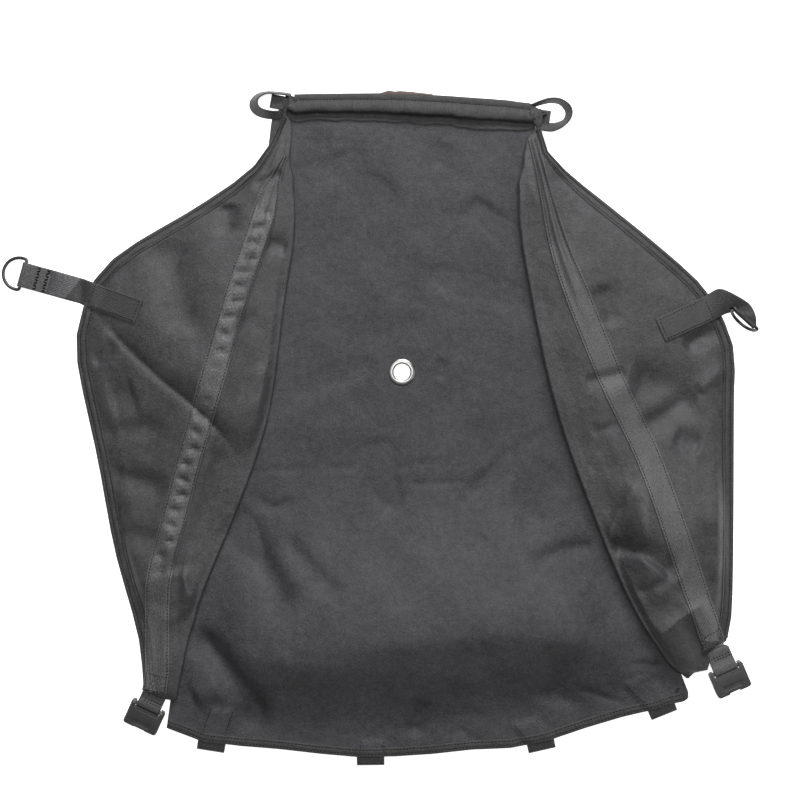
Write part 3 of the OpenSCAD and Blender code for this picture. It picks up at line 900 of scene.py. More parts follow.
def build_wing(side):
    p = bpy.context.scene.skirt_sizes
    way = WAY[side]
    rows = wing_lines(side)
    cad = Ground(frame["nodes"][side + "_wing_root"], frame["nodes"][side + "_wing_panel"])
    deck = Ground(made["deck"], made["casing"])
    columns, roll = 100, p.roll
    share = np.linspace(0, 1, columns)
    start = rows[:, 1] + way * roll
    x = start[:, None] + (rows[:, 2] - start)[:, None] * share[None]
    y = np.repeat(rows[:, :1], columns, 1)
    plan = np.dstack([x, y])
    from_edge = np.abs(x - rows[:, 2:3])
    from_ridge = np.abs(x - rows[:, 1:2])
    under = deck.heights(np.stack([rows[:, 1], rows[:, 0]], 1)) + 0.25 * MM
    under = np.convolve(np.pad(under, 4, mode="edge"), np.ones(9) / 9, mode="valid")
    swell = 0.5 * MM * np.array([noise.noise((way, v * 22, 1.7)) for v in rows[:, 0]])
    wide = np.abs(rows[:, 2] - rows[:, 1])
    tall = ((p.rise_right if way > 0 else p.rise_left) / 2 + swell) * smooth(wide / 0.04)
    tall = np.maximum(tall, 1.2 * MM)
    crest = (under + 2 * tall)[:, None]
    z = cad.heights(plan)
    # The cloth leaves the roll almost level.
    level = crest + 0.06 * from_ridge + 14 * MM * smooth((from_ridge - 0.03) / 0.05)
    near = 1 - smooth((from_ridge - 15 * MM) / (32 * MM))
    z = np.minimum(z, level)
    z = blurred(z + np.maximum(crest - z, 0) * near, 22)
    folds = LEFT_FOLDS if side == "left" else RIGHT_FOLDS
    relief = folded(plan, folds) * p.wing_folds
    relief += crumpled(plan, 0.085, 2.2 * MM, 5.7 + way) + crumpled(plan, 0.026, 0.28 * MM, 2.2)
    ends = smooth(np.minimum(rows[0, 0] - y, y - rows[-1, 0]) / (25 * MM))
    body = smooth(from_edge / (26 * MM)) * smooth(from_ridge / (70 * MM))
    billow = 5 * MM * body * smooth((y + 0.25) / 0.1) * ends
    z = z + relief * smooth(from_edge / (20 * MM)) * (0.15 + 0.85 * ends) + billow
    z = 1.0 * MM + 1.3 * MM * np.logaddexp(0, (z - 1.0 * MM) / (1.3 * MM))

    # The cloth rolls under along its inner edge, down onto the deck.
    rise = smooth(np.abs(x - start[:, None]) / (9 * MM))
    z = crest * (1 - rise) + z * rise
    z = np.where(from_edge < 20 * MM, np.minimum(z, 30 * MM), z)
    front = []
    tuck = np.minimum(1, wide / (40 * MM))
    for back in (16 * MM, 10 * MM, 5 * MM):
        at = start + way * back * tuck
        low = np.minimum(deck.heights(np.stack([at, rows[:, 0]], 1)) + 0.25 * MM, under + 2 * MM)
        front.append(np.stack([at, rows[:, 0], np.maximum(low, 0.3 * MM)], 1))
    for turn in np.linspace(-90, 90, 12):
        a = math.radians(turn)
        front.append(np.stack([
            start - way * roll * math.cos(a), rows[:, 0], under + tall + tall * math.sin(a)
        ], 1))
    top = np.dstack([plan, z])
    grid = np.concatenate([np.stack(front, 1), top[:, 1:]], 1)
    steps = np.cumsum(
        np.r_[np.zeros((1, len(rows))), np.linalg.norm(np.diff(grid, axis=1), axis=2).T], 0
    ).T
    flat = np.dstack([way * steps, np.repeat(rows[:, :1], grid.shape[1], 1)])
    cloth = grid_object(side + "_wing_cloth", grid, flat)
    area = sum(face.area for face in cloth.data.polygons)
    thicken(cloth, p.cloth, -1.0, 0.0)
    paint(cloth, finish_named("wing_twill"))
    across(cloth, side)
    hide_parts(side + "_wing_root", side + "_wing_panel")
    made[side + "_area"] = area
    made[side + "_rows"] = rows
    made[side + "_wing"] = cloth
    made["on_" + side] = Ground(cloth)


def across(obj, side):
    """Bakes a sewn piece's placing into its mesh; the wing's fold axis is worked out but not used."""
    at, axis = joint(side + "_wing_fold")
    out = axis.cross(UP)
    if out.x * WAY[side] < 0:
        out = -out
    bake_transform(obj)


def wing_edge(side):
    """The wing's outer edge in plan, from the top down, in even steps."""
    low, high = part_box(side + "_wing_hem")
    rows = made[side + "_rows"]
    kept = rows[(rows[:, 0] < high.y) & (rows[:, 0] > low.y + 1 * MM)]
    line = np.stack([kept[:, 2], kept[:, 0]], 1)
    return even(line, int(line_length(line) / (2.6 * MM)))


def build_wing_hem(side):
    way = WAY[side]
    line = wing_edge(side)
    inward = aside(line) * -way if way > 0 else aside(line)
    if (inward[len(line) // 2][0] * way) > 0:
        inward = -inward
    ground = made["on_" + side]
    count = len(line)
    t = np.linspace(0, 1, count)
    width = (5 + 6 * smooth(t * 6)) * MM
    profile = [
        (1.0, 0.05), (0.97, 0.9), (0.86, 1.25), (0.78, 0.4), (0.68, 1.3), (0.5, 1.5),
        (0.36, 1.35), (0.26, 0.4), (0.18, 1.25), (0.08, 1.15), (-0.03, 0.75), (-0.07, 0.1),
        (-0.03, -0.6), (0.08, -1.1), (0.3, -1.15),
    ]
    puff = np.array([noise.noise((way * 2, k * 0.16, 0.4)) for k in range(count)])
    # How uneven the hem's height is along its length.
    uneven = {"left": 1.1, "right": 0.3}[side]
    grid = np.zeros((count, len(profile), 3))
    for i, (share, high) in enumerate(profile):
        plan = line + inward * (width * share)[:, None]
        z = ground.heights(line + inward * (width * max(share, 0.04))[:, None])
        lift = high * MM * (1 + uneven * puff if 0.3 < share < 0.7 else 1)
        grid[:, i, :2] = plan
        grid[:, i, 2] = np.maximum(z + lift, 0.05 * MM)
    along = np.r_[0, np.cumsum(np.linalg.norm(np.diff(line, axis=0), axis=1))]
    u = np.array([share * 12 * MM for share, _ in profile])
    flat = np.stack(np.meshgrid(u, along), -1)
    hem = grid_object(side + "_wing_hem_fold", grid, flat)
    thicken(hem, 0.4 * MM, -1.0, 0.0, 60)
    paint(hem, finish_named("hem_twill"))
    across(hem, side)
    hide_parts(side + "_wing_hem")
    made[side + "_hem"] = hem
    rows = [line + inward * (width * share)[:, None] for share in (0.78, 0.26)]
    threads = sew(side + "_hem_stitching", rows, Ground(hem), 0.0)
    across(threads, side)


def strap_line(side):
    """Middle line and width of a strap from its CAD node, from the top down."""
    o = Outline(side + "_strap")
    low, high = o.points[:, 1].min(), o.points[:, 1].max()
    ys = np.linspace(high - 5 * MM, low + 7 * MM, 120)
    spread = np.array([o.x_range(y) for y in ys])
    middle = np.stack([spread.mean(1), ys], 1)
    slope = np.gradient(middle[:, 0], middle[:, 1])
    width = (spread[:, 1] - spread[:, 0]) / np.sqrt(1 + slope**2)
    for ends, step in ((0, 1), (-1, -1)):
        way = middle[ends] - middle[ends + 3 * step]
        way /= np.linalg.norm(way)
        extra = middle[ends] + way * 5 * MM
        if ends == 0:
            middle, width = np.vstack([extra, middle]), np.r_[width[0], width]
        else:
            middle, width = np.vstack([middle, extra]), np.r_[width, width[-1]]
    count = 420
    steps = np.r_[0, np.cumsum(np.linalg.norm(np.diff(middle, axis=0), axis=1))]
    wanted = np.linspace(0, steps[-1], count)
    line = np.stack([np.interp(wanted, steps, middle[:, k]) for k in (0, 1)], 1)
    return line, np.clip(np.interp(wanted, steps, width), 4 * MM, 25 * MM)


def wander(along, speed, seed):
    return np.array([noise.noise((a * speed, seed, 0.5)) for a in along[:, 0]])[:, None]


def pucker(s, along, plan):
    """Puckers of a strap that was sewn on tighter than its cloth: hollows between raised rims."""
    deep = bpy.context.scene.skirt_sizes.pucker
    held = np.clip(1 - (2 * s) ** 4, 0, 1)
    turn = along / (16.5 * MM) + 0.28 * wander(along, 13, 0.3) + 0.12 * s
    middle = 0.1 * np.sin(2.1 * turn + 0.7)
    beat = np.abs((turn % 1) - 0.5) * 2
    hollow = np.exp(-(((s - middle) / 0.23) ** 2) - (beat / 0.5) ** 2)
    calm = smooth((along - 0.035) / 0.04) * (1 - smooth((along - 0.40) / 0.06))
    calm = calm * (1 - 0.85 * np.exp(-(((along - 0.235) / 0.022) ** 2)))
    strength = 0.85 + 0.5 * wander(along, 21, 4.1)
    ripples = along / (4.1 * MM) * 2 * math.pi + 14 * s + 6 * wander(along, 60, 7)
    crinkle = 0.16 * MM * np.sin(ripples)
    edge = 0.7 * MM * np.cos(2 * math.pi * 2.5 * s) * (1 - smooth((along - 0.03) / 0.12))
    return deep * held * calm * strength * (0.75 - hollow) + crinkle * held * (0.3 + calm) + edge


def doubled(s, along, plan):
    """Folds along the top of a strap that is doubled lengthwise, which open out further down."""
    fade = 1 - smooth((along - 0.07) / 0.17)
    lines = 1.6 * MM * np.cos(2 * math.pi * 2.0 * s) * fade * (0.4 + 0.6 * smooth(along / 0.03))
    ripple = np.array([noise.noise((a * 30, 9.1, 0.2)) for a in along[:, 0]])[:, None]
    return lines + 0.3 * MM * ripple * (1 - 4 * s * s)


def build_strap(side):
    p = bpy.context.scene.skirt_sizes
    line, width = strap_line(side)
    ground = Ground(made[side + "_wing"], made[side + "_hem"])
    shape = pucker if side == "left" else doubled
    strap = laid_strip(
        side + "_strap_webbing", line, width, ground, 0.15 * MM, p.webbing, 20, shape
    )
    paint(strap, finish_named(side + "_webbing"))
    across(strap, side)
    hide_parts(side + "_strap")
    made[side + "_strap"] = strap
    inset = np.maximum(width / 2 - 1.9 * MM, 1.2 * MM)
    rows = [line + aside(line) * inset[:, None] * way for way in (1, -1)]
    last = np.stack([rows[0][-2], rows[1][-2]])
    rows += [even(last, 12), even(np.stack([rows[0][-14], rows[1][-14]]), 12)]
    threads = sew(side + "_strap_stitching", rows, Ground(strap), 0.0, 3.2)
    across(threads, side)
    made[side + "_strap_end"] = line[-1]


# ---------------------------------------------------------------- webbing tabs, tails and loops


def frame_at(origin, x_axis, y_axis):
    """A local frame: its X along a bar and its Y the way that the piece points."""
    x = x_axis.normalized()
    z = x.cross(y_axis).normalized()
    return Matrix.Translation(origin) @ Matrix((x, z.cross(x), z)).transposed().to_4x4()


def bar_path(place, radius, under, over, near):
    """World points of webbing that comes from -Y, turns round the bar and goes back."""
    low = curve([(-under, -near), (-under * 0.5, -near), (-4 * MM, -radius * 0.92)], 14)
    arc = [
        (radius * math.cos(math.radians(a)) * 0.98, radius * math.sin(math.radians(a)))
        for a in range(-80, 81, 10)
    ]
    high = curve([(-4 * MM, radius * 0.92), (-over * 0.5, near), (-over, near)], 14)
    flat = np.vstack([low, np.array(arc), high])
    return [place @ Vector((0, y, z)) for y, z in flat]


def build_left_tab():
    p = bpy.context.scene.skirt_sizes
    fold, _ = joint("left_tab_fold")
    bar, bar_axis = joint("left_ring_swing")
    ahead = (bar - fold)
    ahead.z = 0
    ahead.normalize()
    place = frame_at(bar, -bar_axis, ahead)
    if (place.to_3x3() @ Vector((0, 0, 1))).z < 0:
        place = frame_at(bar, bar_axis, ahead)
    middle, way, length, _ = Outline("left_tab_patch").oriented()
    if way[0] > 0:
        way = -way
    inner = middle - way * length / 2
    ground = Ground(made["left_wing"], made["left_hem"], made["left_strap"])
    reach = (bar - fold).length
    looped = bar_path(place, 2.6 * MM, reach - 6 * MM, 28 * MM, 0.85 * MM)
    plan = curve([inner, middle, middle + way * length * 0.42, np.array(looped[0][:2])], 44)
    laid = []
    for k, (x, y) in enumerate(plan):
        side = np.array([-way[1], way[0]])
        high = max(ground.height(x + side[0] * s * 10 * MM, y + side[1] * s * 10 * MM)
                   for s in (-1, 0, 1))
        t = smooth((k - 34) / 9)
        laid.append(Vector((x, y, (high + 0.95 * MM) * (1 - t) + looped[0].z * t)))
    soft = np.array([v.z for v in laid])
    soft = np.convolve(np.pad(soft, 3, mode="edge"), np.ones(7) / 7, mode="valid")
    path = [Vector((v.x, v.y, z)) for v, z in zip(laid, soft)] + looped[1:]
    across_laid = Vector((-way[1], way[0], 0))
    across_bar = place.to_3x3() @ Vector((1, 0, 0))
    if across_laid.dot(across_bar) < 0:
        across_laid = -across_laid
    sides = [across_laid.lerp(across_bar, float(smooth((k - 26) / 18))).normalized()
             for k in range(len(path))]

    def dip(s, along):
        """The webbing sags to the floor between the hem and the ring, at a slant."""
        at = along - length - (13 + 10 * s) * MM
        sag = -3.4 * MM * np.exp(-((at / (8.5 * MM)) ** 2))
        bulge = 1.6 * MM * np.exp(-(((at - 22 * MM) / (11 * MM)) ** 2))
        return sag + bulge + 5.5 * MM * s * np.exp(-(((at - 19 * MM) / (11 * MM)) ** 2))

    tab = ribbon(
        "left_tab_strip", path, sides, p.web_width, p.webbing * 0.95, 8, dip
    )
    # The tab's free end carries a painted highlight.
    paint(tab, finish_named("tab_webbing_painted_highlight"))
    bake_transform(tab)
    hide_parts("left_tab_patch", "left_tab_webbing")
    top = Ground(tab)

    def across_row(base, direction, side, distance, half=10.4 * MM):
        centre = np.array(base) + np.array(direction) * distance
        return even(np.stack([centre - np.array(side) * half, centre + np.array(side) * half]), 8)

    side2 = np.array([across_bar.x, across_bar.y])
    bar2, ahead2 = np.array(bar[:2]), np.array(ahead[:2])
    rows = []
    for d in (14.5, 24.0):
        for k, place in enumerate(across_row(bar2, -ahead2, side2, d * MM)):
            slant = side2 * (0.7 if k % 2 else -0.7) * MM
            rows.append(np.stack([place - ahead2 * 1.7 * MM - slant,
                                  place + ahead2 * 1.7 * MM + slant]))
    threads = tack("left_tab_end_stitching", rows, top)
    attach(threads, "left_tab")
    side1 = np.array([-way[1], way[0]])
    rows = [across_row(middle, way, side1, d * length) for d in (-0.44, 0.44)]
    rows += [even(np.stack([middle - way * length * 0.44 + side1 * s, middle
             + way * length * 0.44 + side1 * s]), 20) for s in (-10.4 * MM, 10.4 * MM)]
    threads = sew("left_tab_patch_stitching", rows, top, 0.0, 3.0)
    across(threads, "left")


# The upper and lower edges of the right tab's free end, from the hem to the ring, in millimetres.
RIGHT_TAB_EDGES = [
    ((331.5, 136, 5.6), (345, 114.5, 5.6)), ((338.5, 139.6, 8), (351, 116.2, 8)),
    ((345, 138.6, 12), (352.8, 117, 11)), ((357, 132, 17.5), (354, 117.4, 15)),
    ((368.6, 123.4, 21.5), (354.8, 117.8, 19)), ((374, 112.5, 23.5), (355.4, 118.4, 22.5)),
]


def build_right_tab():
    p = bpy.context.scene.skirt_sizes
    fold, fold_axis = joint("right_tab_fold")
    bar, bar_axis = joint("right_ring_swing")
    middle, way, length, _ = Outline("right_tab_patch").oriented()
    if way[0] < 0:
        way = -way
    inner = middle - way * length / 2
    ground = Ground(made["right_wing"], made["right_hem"], made["right_strap"])
    plan = curve([inner, middle, middle + way * length * 0.5], 26)
    side = Vector((way[1], -way[0], 0))
    path = []
    for x, y in plan:
        high = max(ground.height(x + side.x * s, y + side.y * s) for s in (-0.01, 0, 0.01))
        path.append((x, y, high + 0.95 * MM))
    # The free end curls up and over.
    edges = [tuple(Vector(q) * MM for q in pair) for pair in RIGHT_TAB_EDGES]
    across_bar = bar_axis if bar_axis.dot(edges[-1][0] - edges[-1][1]) > 0 else -bar_axis
    arrive = UP.cross(across_bar)
    if arrive.dot((edges[-1][0] + edges[-1][1]) / 2 - bar) < 0:
        arrive = -arrive
    half = p.web_width / 2
    for turn in (60, 95, 130, 165, 200, 235):
        a = math.radians(turn)
        at = bar + (arrive * math.cos(a) + UP * math.sin(a)) * 2.5 * MM
        edges.append((at + across_bar * half, at - across_bar * half))
    side = -side if side.dot(edges[0][0] - edges[0][1]) > 0 else side
    laid = [(Vector(q) - side * half, Vector(q) + side * half) for q in path]
    if (laid[-1][0] - edges[0][0]).length > (laid[-1][1] - edges[0][0]).length:
        laid = [(b, a) for a, b in laid]
    tab = between("right_tab_strip", laid[:-2] + edges, p.webbing * 0.95, 120)
    paint(tab, finish_named("tab_webbing"))
    out = fold_axis.cross(UP)
    if out.x < 0:
        out = -out
    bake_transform(tab)
    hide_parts("right_tab_patch", "right_tab_webbing")
    side1 = np.array([-way[1], way[0]])
    rows = []
    for d in (-0.44, 0.4):
        centre = middle + way * d * length
        rows.append(even(np.stack([centre - side1 * 10.4 * MM, centre + side1 * 10.4 * MM]), 8))
    for s in (-10.4 * MM, 10.4 * MM):
        ends = [middle + way * d * length + side1 * s for d in (-0.44, 0.4)]
        rows.append(even(np.stack(ends), 20))
    threads = sew("right_tab_patch_stitching", rows, Ground(tab), 0.0, 3.0)
    across(threads, "right")


def build_tail(side):
    p = bpy.context.scene.skirt_sizes
    pivot, _ = joint(side + "_tail_flex")
    bar, axis = joint(side + "_buckle_swing")
    ahead = (bar - pivot).normalized()
    place = frame_at(bar, axis, ahead)
    leg = (bar - pivot).length
    radius = 3.1 * MM
    high = curve([(-leg, 0.9 * MM), (-leg * 0.5, 0.9 * MM), (-4 * MM, radius * 0.92)], 14)
    arc = [
        (radius * math.cos(math.radians(a)) * 0.98, radius * math.sin(math.radians(a)))
        for a in range(80, -81, -10)
    ]
    low = curve([(-4 * MM, -radius * 0.92), (-leg * 0.5, -0.9 * MM), (-leg, -0.9 * MM)], 14)
    path = [place @ Vector((0, y, z)) for y, z in np.vstack([high, np.array(arc), low])]
    # The upper layer runs on over the wing cloth, to where the strap is sewn down.
    ground = Ground(made[side + "_wing"], made[side + "_strap"])
    start = Vector((*made[side + "_strap_end"], 0))
    first = path[0]
    lead = []
    for k in range(6):
        q = start.lerp(first, k / 6)
        t = float(smooth(k / 6))
        z = (ground.height(q.x, q.y) - 0.2 * MM) * (1 - t) + first.z * t
        lead.append(Vector((q.x, q.y, z)))
    path = lead + path
    sides = [axis] * len(path)
    tail = ribbon(side + "_tail_webbing", path, sides, p.web_width * 0.97, p.webbing, 8)
    paint(tail, finish_named(side + "_webbing" if side == "right" else "tab_webbing"))
    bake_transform(tail)
    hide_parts(side + "_strap_tail")
    half = 0.4 * p.web_width
    rows = []
    for d in (6, 8.5):
        centre = bar - ahead * (leg - d * MM)
        ends = np.array([list((centre + axis * h)[:2]) for h in (-half, half)])
        rows.append(even(ends, 8))
    threads = sew(side + "_tail_stitching", rows, Ground(tail), 0.0, 3.0)
    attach(threads, side + "_tail")


def build_bottom_loops():
    p = bpy.context.scene.skirt_sizes
    deck = made["on_deck"]
    rows = []
    for k, (place, ahead, (_, high)) in enumerate(hem_loops(), 1):
        along, inward = Vector((*ahead, 0)), Vector((-ahead[1], ahead[0], 0))
        base = Vector((*place, 0))
        r = 2.95 * MM
        out = -6.3 * MM
        upper = [(27, 6.2), (16, 6.4), (6, 6.6), (-2, 6.65)]
        lower = [(-2, 0.8), (2, 1.2), (6, 4.2), (16, 5.0), (27, 5.1)]
        turns = [math.radians(a) for a in range(0, 181, 15)]
        arc = [((out - r * math.sin(a)) / MM, (high.z / 2 + r * math.cos(a)) / MM) for a in turns]
        flat = curve(np.array(upper + arc + lower), 80) * MM
        path = [base + inward * y + UP * z for y, z in flat]
        loop = ribbon(
            f"hem_loop_{k}", path, [along] * len(path), 27.6 * MM, p.webbing * 0.9, 6
        )
        paint(loop, finish_named("tab_webbing"))
        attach(loop, "deck")
        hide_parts(f"bottom_loop_{k}")
        long, lean = (v * MM for v in LOOP_LEGS[k - 1])
        for s in (-11 * MM, 11 * MM):
            a = place + ahead * s + np.array(inward[:2]) * 2 * MM
            b = place + ahead * (s + lean) + np.array(inward[:2]) * long
            rows.append(even(np.stack([a, b]), 20))
    threads = sew("hem_loop_stitching", rows, deck, 0.0, 3.0)
    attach(threads, "deck")


# Outer and inner edge of each corner loop, in millimetres from the middle of its box. The
# webbing stands on edge and leans, so that its face shows between the two.
LOOP_EDGES = {
    "left": [
        ((31, 11), (31, 8.4)), ((23.8, 12.5), (23.8, 9.6)), ((15.8, 13.7), (15.8, 10.2)),
        ((6.2, 14), (7.2, 10.6)), ((-3.2, 11.7), (1.2, 8.2)), ((-9.8, 5.6), (-2.2, 4.6)),
        ((-10.8, -1.5), (-2.2, -0.4)), ((-6.6, -8.2), (1, -3.8)), ((1.7, -12.2), (6, -5.8)),
        ((11.7, -14), (12.6, -6.6)), ((20.8, -13), (20.8, -6)),
    ],
    "right": [
        ((-32, 9), (-29.5, 6.8)), ((-21, 13.3), (-19.4, 10.2)), ((-11, 15.4), (-10.2, 12.2)),
        ((-1.4, 14.4), (-2.6, 11)), ((6.8, 9.3), (2.6, 6)), ((10.1, 1.8), (4.4, 0.8)),
        ((7.4, -6.7), (2, -4.8)), ((-0.2, -13.7), (-3.2, -7.4)), ((-9, -17.6), (-10, -8.6)),
        ((-17, -17.2), (-17, -8.2)), ((-25, -15.4), (-24, -7.2)),
    ],
}


def build_top_loops():
    p = bpy.context.scene.skirt_sizes
    for side, pairs in LOOP_EDGES.items():
        low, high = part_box(side + "_top_loop")
        middle = (low + high) / 2
        tall = high.z - low.z - 1.6 * MM
        edges = []
        for k, (outer, inner) in enumerate(pairs):
            wide = math.dist(outer, inner) * MM
            lift = math.sqrt(max(tall**2 - wide**2, 0)) / 2
            held = min(k, len(pairs) - 1 - k)
            if held < 2:
                lift *= 0.25 + 0.3 * held
            lean = -1 if side == "left" else 1
            edges.append([
                Vector((middle.x + x * MM, middle.y + y * MM, middle.z + way * lean * lift))
                for (x, y), way in ((outer, 1), (inner, -1))
            ])
        loop = between(side + "_corner_loop", edges, p.webbing * 0.95, 84)
        paint(loop, finish_named("tab_webbing"))
        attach(loop, "deck")
        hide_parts(side + "_top_loop")


# ---------------------------------------------------------------- top edge and bottom hem


def middle_of(node, count, start=1.0, stop=1.0):
    """Middle line of a node that runs along X, with its depth in Y."""
    o = Outline(node)
    low, high = o.points[:, 0].min(), o.points[:, 0].max()
    xs = np.linspace(low + start * MM, high - stop * MM, count)
    spread = np.array([o.y_range(x) for x in xs])
    return np.stack([xs, spread.mean(1)], 1), spread[:, 1] - spread[:, 0]


def build_top_edge():
    p = bpy.context.scene.skirt_sizes
    line, _ = middle_of("top_edge_webbing", 90, -2.0, 2.0)
    line[:, 1] = np.convolve(np.pad(line[:, 1], 6, mode="reflect", reflect_type="odd"),
                             np.ones(13) / 13, mode="valid")
    low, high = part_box("top_edge_webbing")
    path = [Vector((x, y, (low.z + high.z) / 2)) for x, y in line]
    side = [Vector((*v, 0)) for v in aside(line)]
    webbing = ribbon("top_edge_strip", path, side, 14 * MM, p.webbing, 6)
    paint(webbing, finish_named("tab_webbing"))
    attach(webbing, "deck")
    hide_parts("top_edge_webbing")

    line, depth = middle_of("top_casing", 150, -5.0, 1.5)
    low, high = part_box("top_casing")
    t = np.linspace(0, 1, len(line))
    bulge = np.array([noise.fractal((a * 9, 0.3, 1.1), 0.7, 2, 3) for a in t])
    # Share of the depth and height in millimetres; the first four lie flat on the deck.
    profile = [
        (-0.90, None), (-0.84, None), (-0.72, None), (-0.58, None), (-0.46, 0.2), (-0.475, 1.0),
        (-0.50, 2.3), (-0.475, 3.7), (-0.40, 4.5), (-0.28, 4.8), (-0.1, 4.0), (0.06, 2.6),
        (0.15, 1.7), (0.18, 1.3), (0.21, 1.4), (0.30, 1.5), (0.42, 1.0), (0.49, 0.0),
        (0.515, -1.2), (0.50, -2.4), (0.44, -3.4), (0.30, -3.8),
    ]
    side = aside(line)
    grid = np.zeros((len(line), len(profile), 3))
    wavy = 1.0 * MM * bulge
    for i, (s, h) in enumerate(profile):
        shift = wavy * (2.2 if h is None else 1 if s < 0 else 0.2)
        grid[:, i, :2] = line + side * (s * depth * 1.06 + shift)[:, None]
        if h is None:
            lift = (1.6 if s < -0.88 else 1.9 if s < -0.8 else 1.2) * MM
            grid[:, i, 2] = made["on_deck"].heights(grid[:, i, :2]) + lift
            continue
        soft = 0.9 * MM * bulge * math.exp(-((s + 0.15) / 0.3) ** 2)
        grid[:, i, 2] = high.z - 1.0 * MM + h * MM + (soft if h > 0 else 0)
    along = np.r_[0, np.cumsum(np.linalg.norm(np.diff(line, axis=0), axis=1))]
    flat = np.stack(np.meshgrid([0.0012 * i for i in range(len(profile))], along), -1)
    casing = grid_object("top_casing_cloth", grid, flat)
    thicken(casing, 0.5 * MM, -1.0, 0.0, 60)
    # The casing's darker colour, also on its flat flange, is painted shade.
    paint(casing, finish_named("casing_twill_painted_shade"))
    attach(casing, "deck")
    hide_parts("top_casing")
    rows = [line + side * (0.18 * depth * 1.06 + wavy * 0.2)[:, None]]
    threads = sew("casing_stitching", rows, Ground(casing), 0.0)
    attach(threads, "deck")
    made["casing"] = casing

    low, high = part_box("care_label")
    rows, columns = 12, 40
    t = np.linspace(0, 1, columns)
    x = low.x - 4 * MM * (1 - t) + (high.x - low.x) * t
    crest = np.interp(t, [0, 0.18, 0.3, 0.38, 0.62, 1], [0, 1, 0.6, 0.85, 0.5, -0.2])
    crest = np.convolve(np.pad(crest, 1, mode="edge"), [0.25, 0.5, 0.25], mode="valid")
    top = high.y - 3.0 * MM + 2.8 * MM * crest
    grid = np.zeros((rows, columns, 3))
    down = np.linspace(0, 1, rows)[:, None]
    grid[..., 0] = low.x + (x - low.x)[None]
    grid[..., 1] = top[None] * (1 - down) + low.y * down
    grid[..., 2] = high.z + 2.2 * MM * crest[None] * (1 - smooth(down * 3)) + 0.2 * MM
    label = grid_object("woven_label", grid)
    thicken(label, 0.4 * MM, -1.0, 0.12)
    paint(label, finish_named("tape"))
    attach(label, "deck")
    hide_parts("care_label")


def build_bottom_hem():
    bottom = made["bottom_edge"]
    line = even(bottom, int(line_length(bottom) / (2.6 * MM)))
    inward = aside(line)
    if inward[len(line) // 2][1] < 0:
        inward = -inward
    ground = made["on_deck"]
    profile = [
        (8.4, 0.05), (8.0, 0.4), (7.0, 0.6), (6.2, 0.4), (5.4, 0.65), (4.0, 0.7), (2.8, 0.65),
        (2.0, 0.4), (1.3, 0.6), (0.5, 0.5), (-0.5, 0.2), (-0.7, -0.4), (-0.2, -1.0), (1.4, -1.25),
        (3.5, -1.3),
    ]
    grid = np.zeros((len(line), len(profile), 3))
    z_edge = ground.heights(line + inward * 0.8 * MM)
    for i, (s, h) in enumerate(profile):
        plan = line + inward * s * MM
        z = ground.heights(plan) if s > 1 and h > 0 else z_edge
        grid[:, i, :2] = plan
        grid[:, i, 2] = z + h * MM
    along = np.r_[0, np.cumsum(np.linalg.norm(np.diff(line, axis=0), axis=1))]
    flat = np.stack(np.meshgrid([s * MM for s, _ in profile], along), -1)
    hem = grid_object("bottom_hem_fold", grid, flat)
    thicken(hem, 0.35 * MM, -1.0, 0.0, 60)
    paint(hem, finish_named("hem_twill"))
    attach(hem, "deck")
    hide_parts("bottom_hem")
    rows = [line + inward * s * MM for s in (6.2, 2.0)]
    threads = sew("bottom_hem_stitching", rows, Ground(hem), 0.0)
    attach(threads, "deck")


# ---------------------------------------------------------------- hardware


def place_in(obj, matrix):
    obj.data.transform(matrix)
    if matrix.determinant() < 0:
        obj.data.flip_normals()
    obj.matrix_world = Matrix.Identity(4)


def add_box(size, middle):
    bpy.ops.object.select_all(action="DESELECT")
    bpy.ops.mesh.primitive_cube_add(size=1, location=middle, scale=size)
    obj = bpy.context.active_object
    bpy.ops.object.transform_apply(location=True, rotation=True, scale=True)
    return obj


def cut_with(obj, *cutters):
    for cutter in cutters:
        only(obj)
        cut = obj.modifiers.new("cut", "BOOLEAN")
        cut.operation = "DIFFERENCE"
        cut.solver = "EXACT"
        cut.object = cutter
        bpy.ops.object.modifier_apply(modifier=cut.name)
        bpy.data.objects.remove(cutter)


def bevel_upright_edges(obj, width):
    only(obj)
    bpy.ops.object.mode_set(mode="EDIT")
    bpy.ops.mesh.select_all(action="DESELECT")
    bpy.ops.object.mode_set(mode="OBJECT")
    for edge in obj.data.edges:
        a, b = (obj.data.vertices[i].co for i in edge.vertices)
        edge.select = abs(a.x - b.x) < 1e-6 and abs(a.y - b.y) < 1e-6
    bpy.ops.object.mode_set(mode="EDIT")
    bpy.ops.mesh.select_mode(type="EDGE")
    bpy.ops.mesh.bevel(offset=width, segments=6, affect="EDGES")
    bpy.ops.object.mode_set(mode="OBJECT")


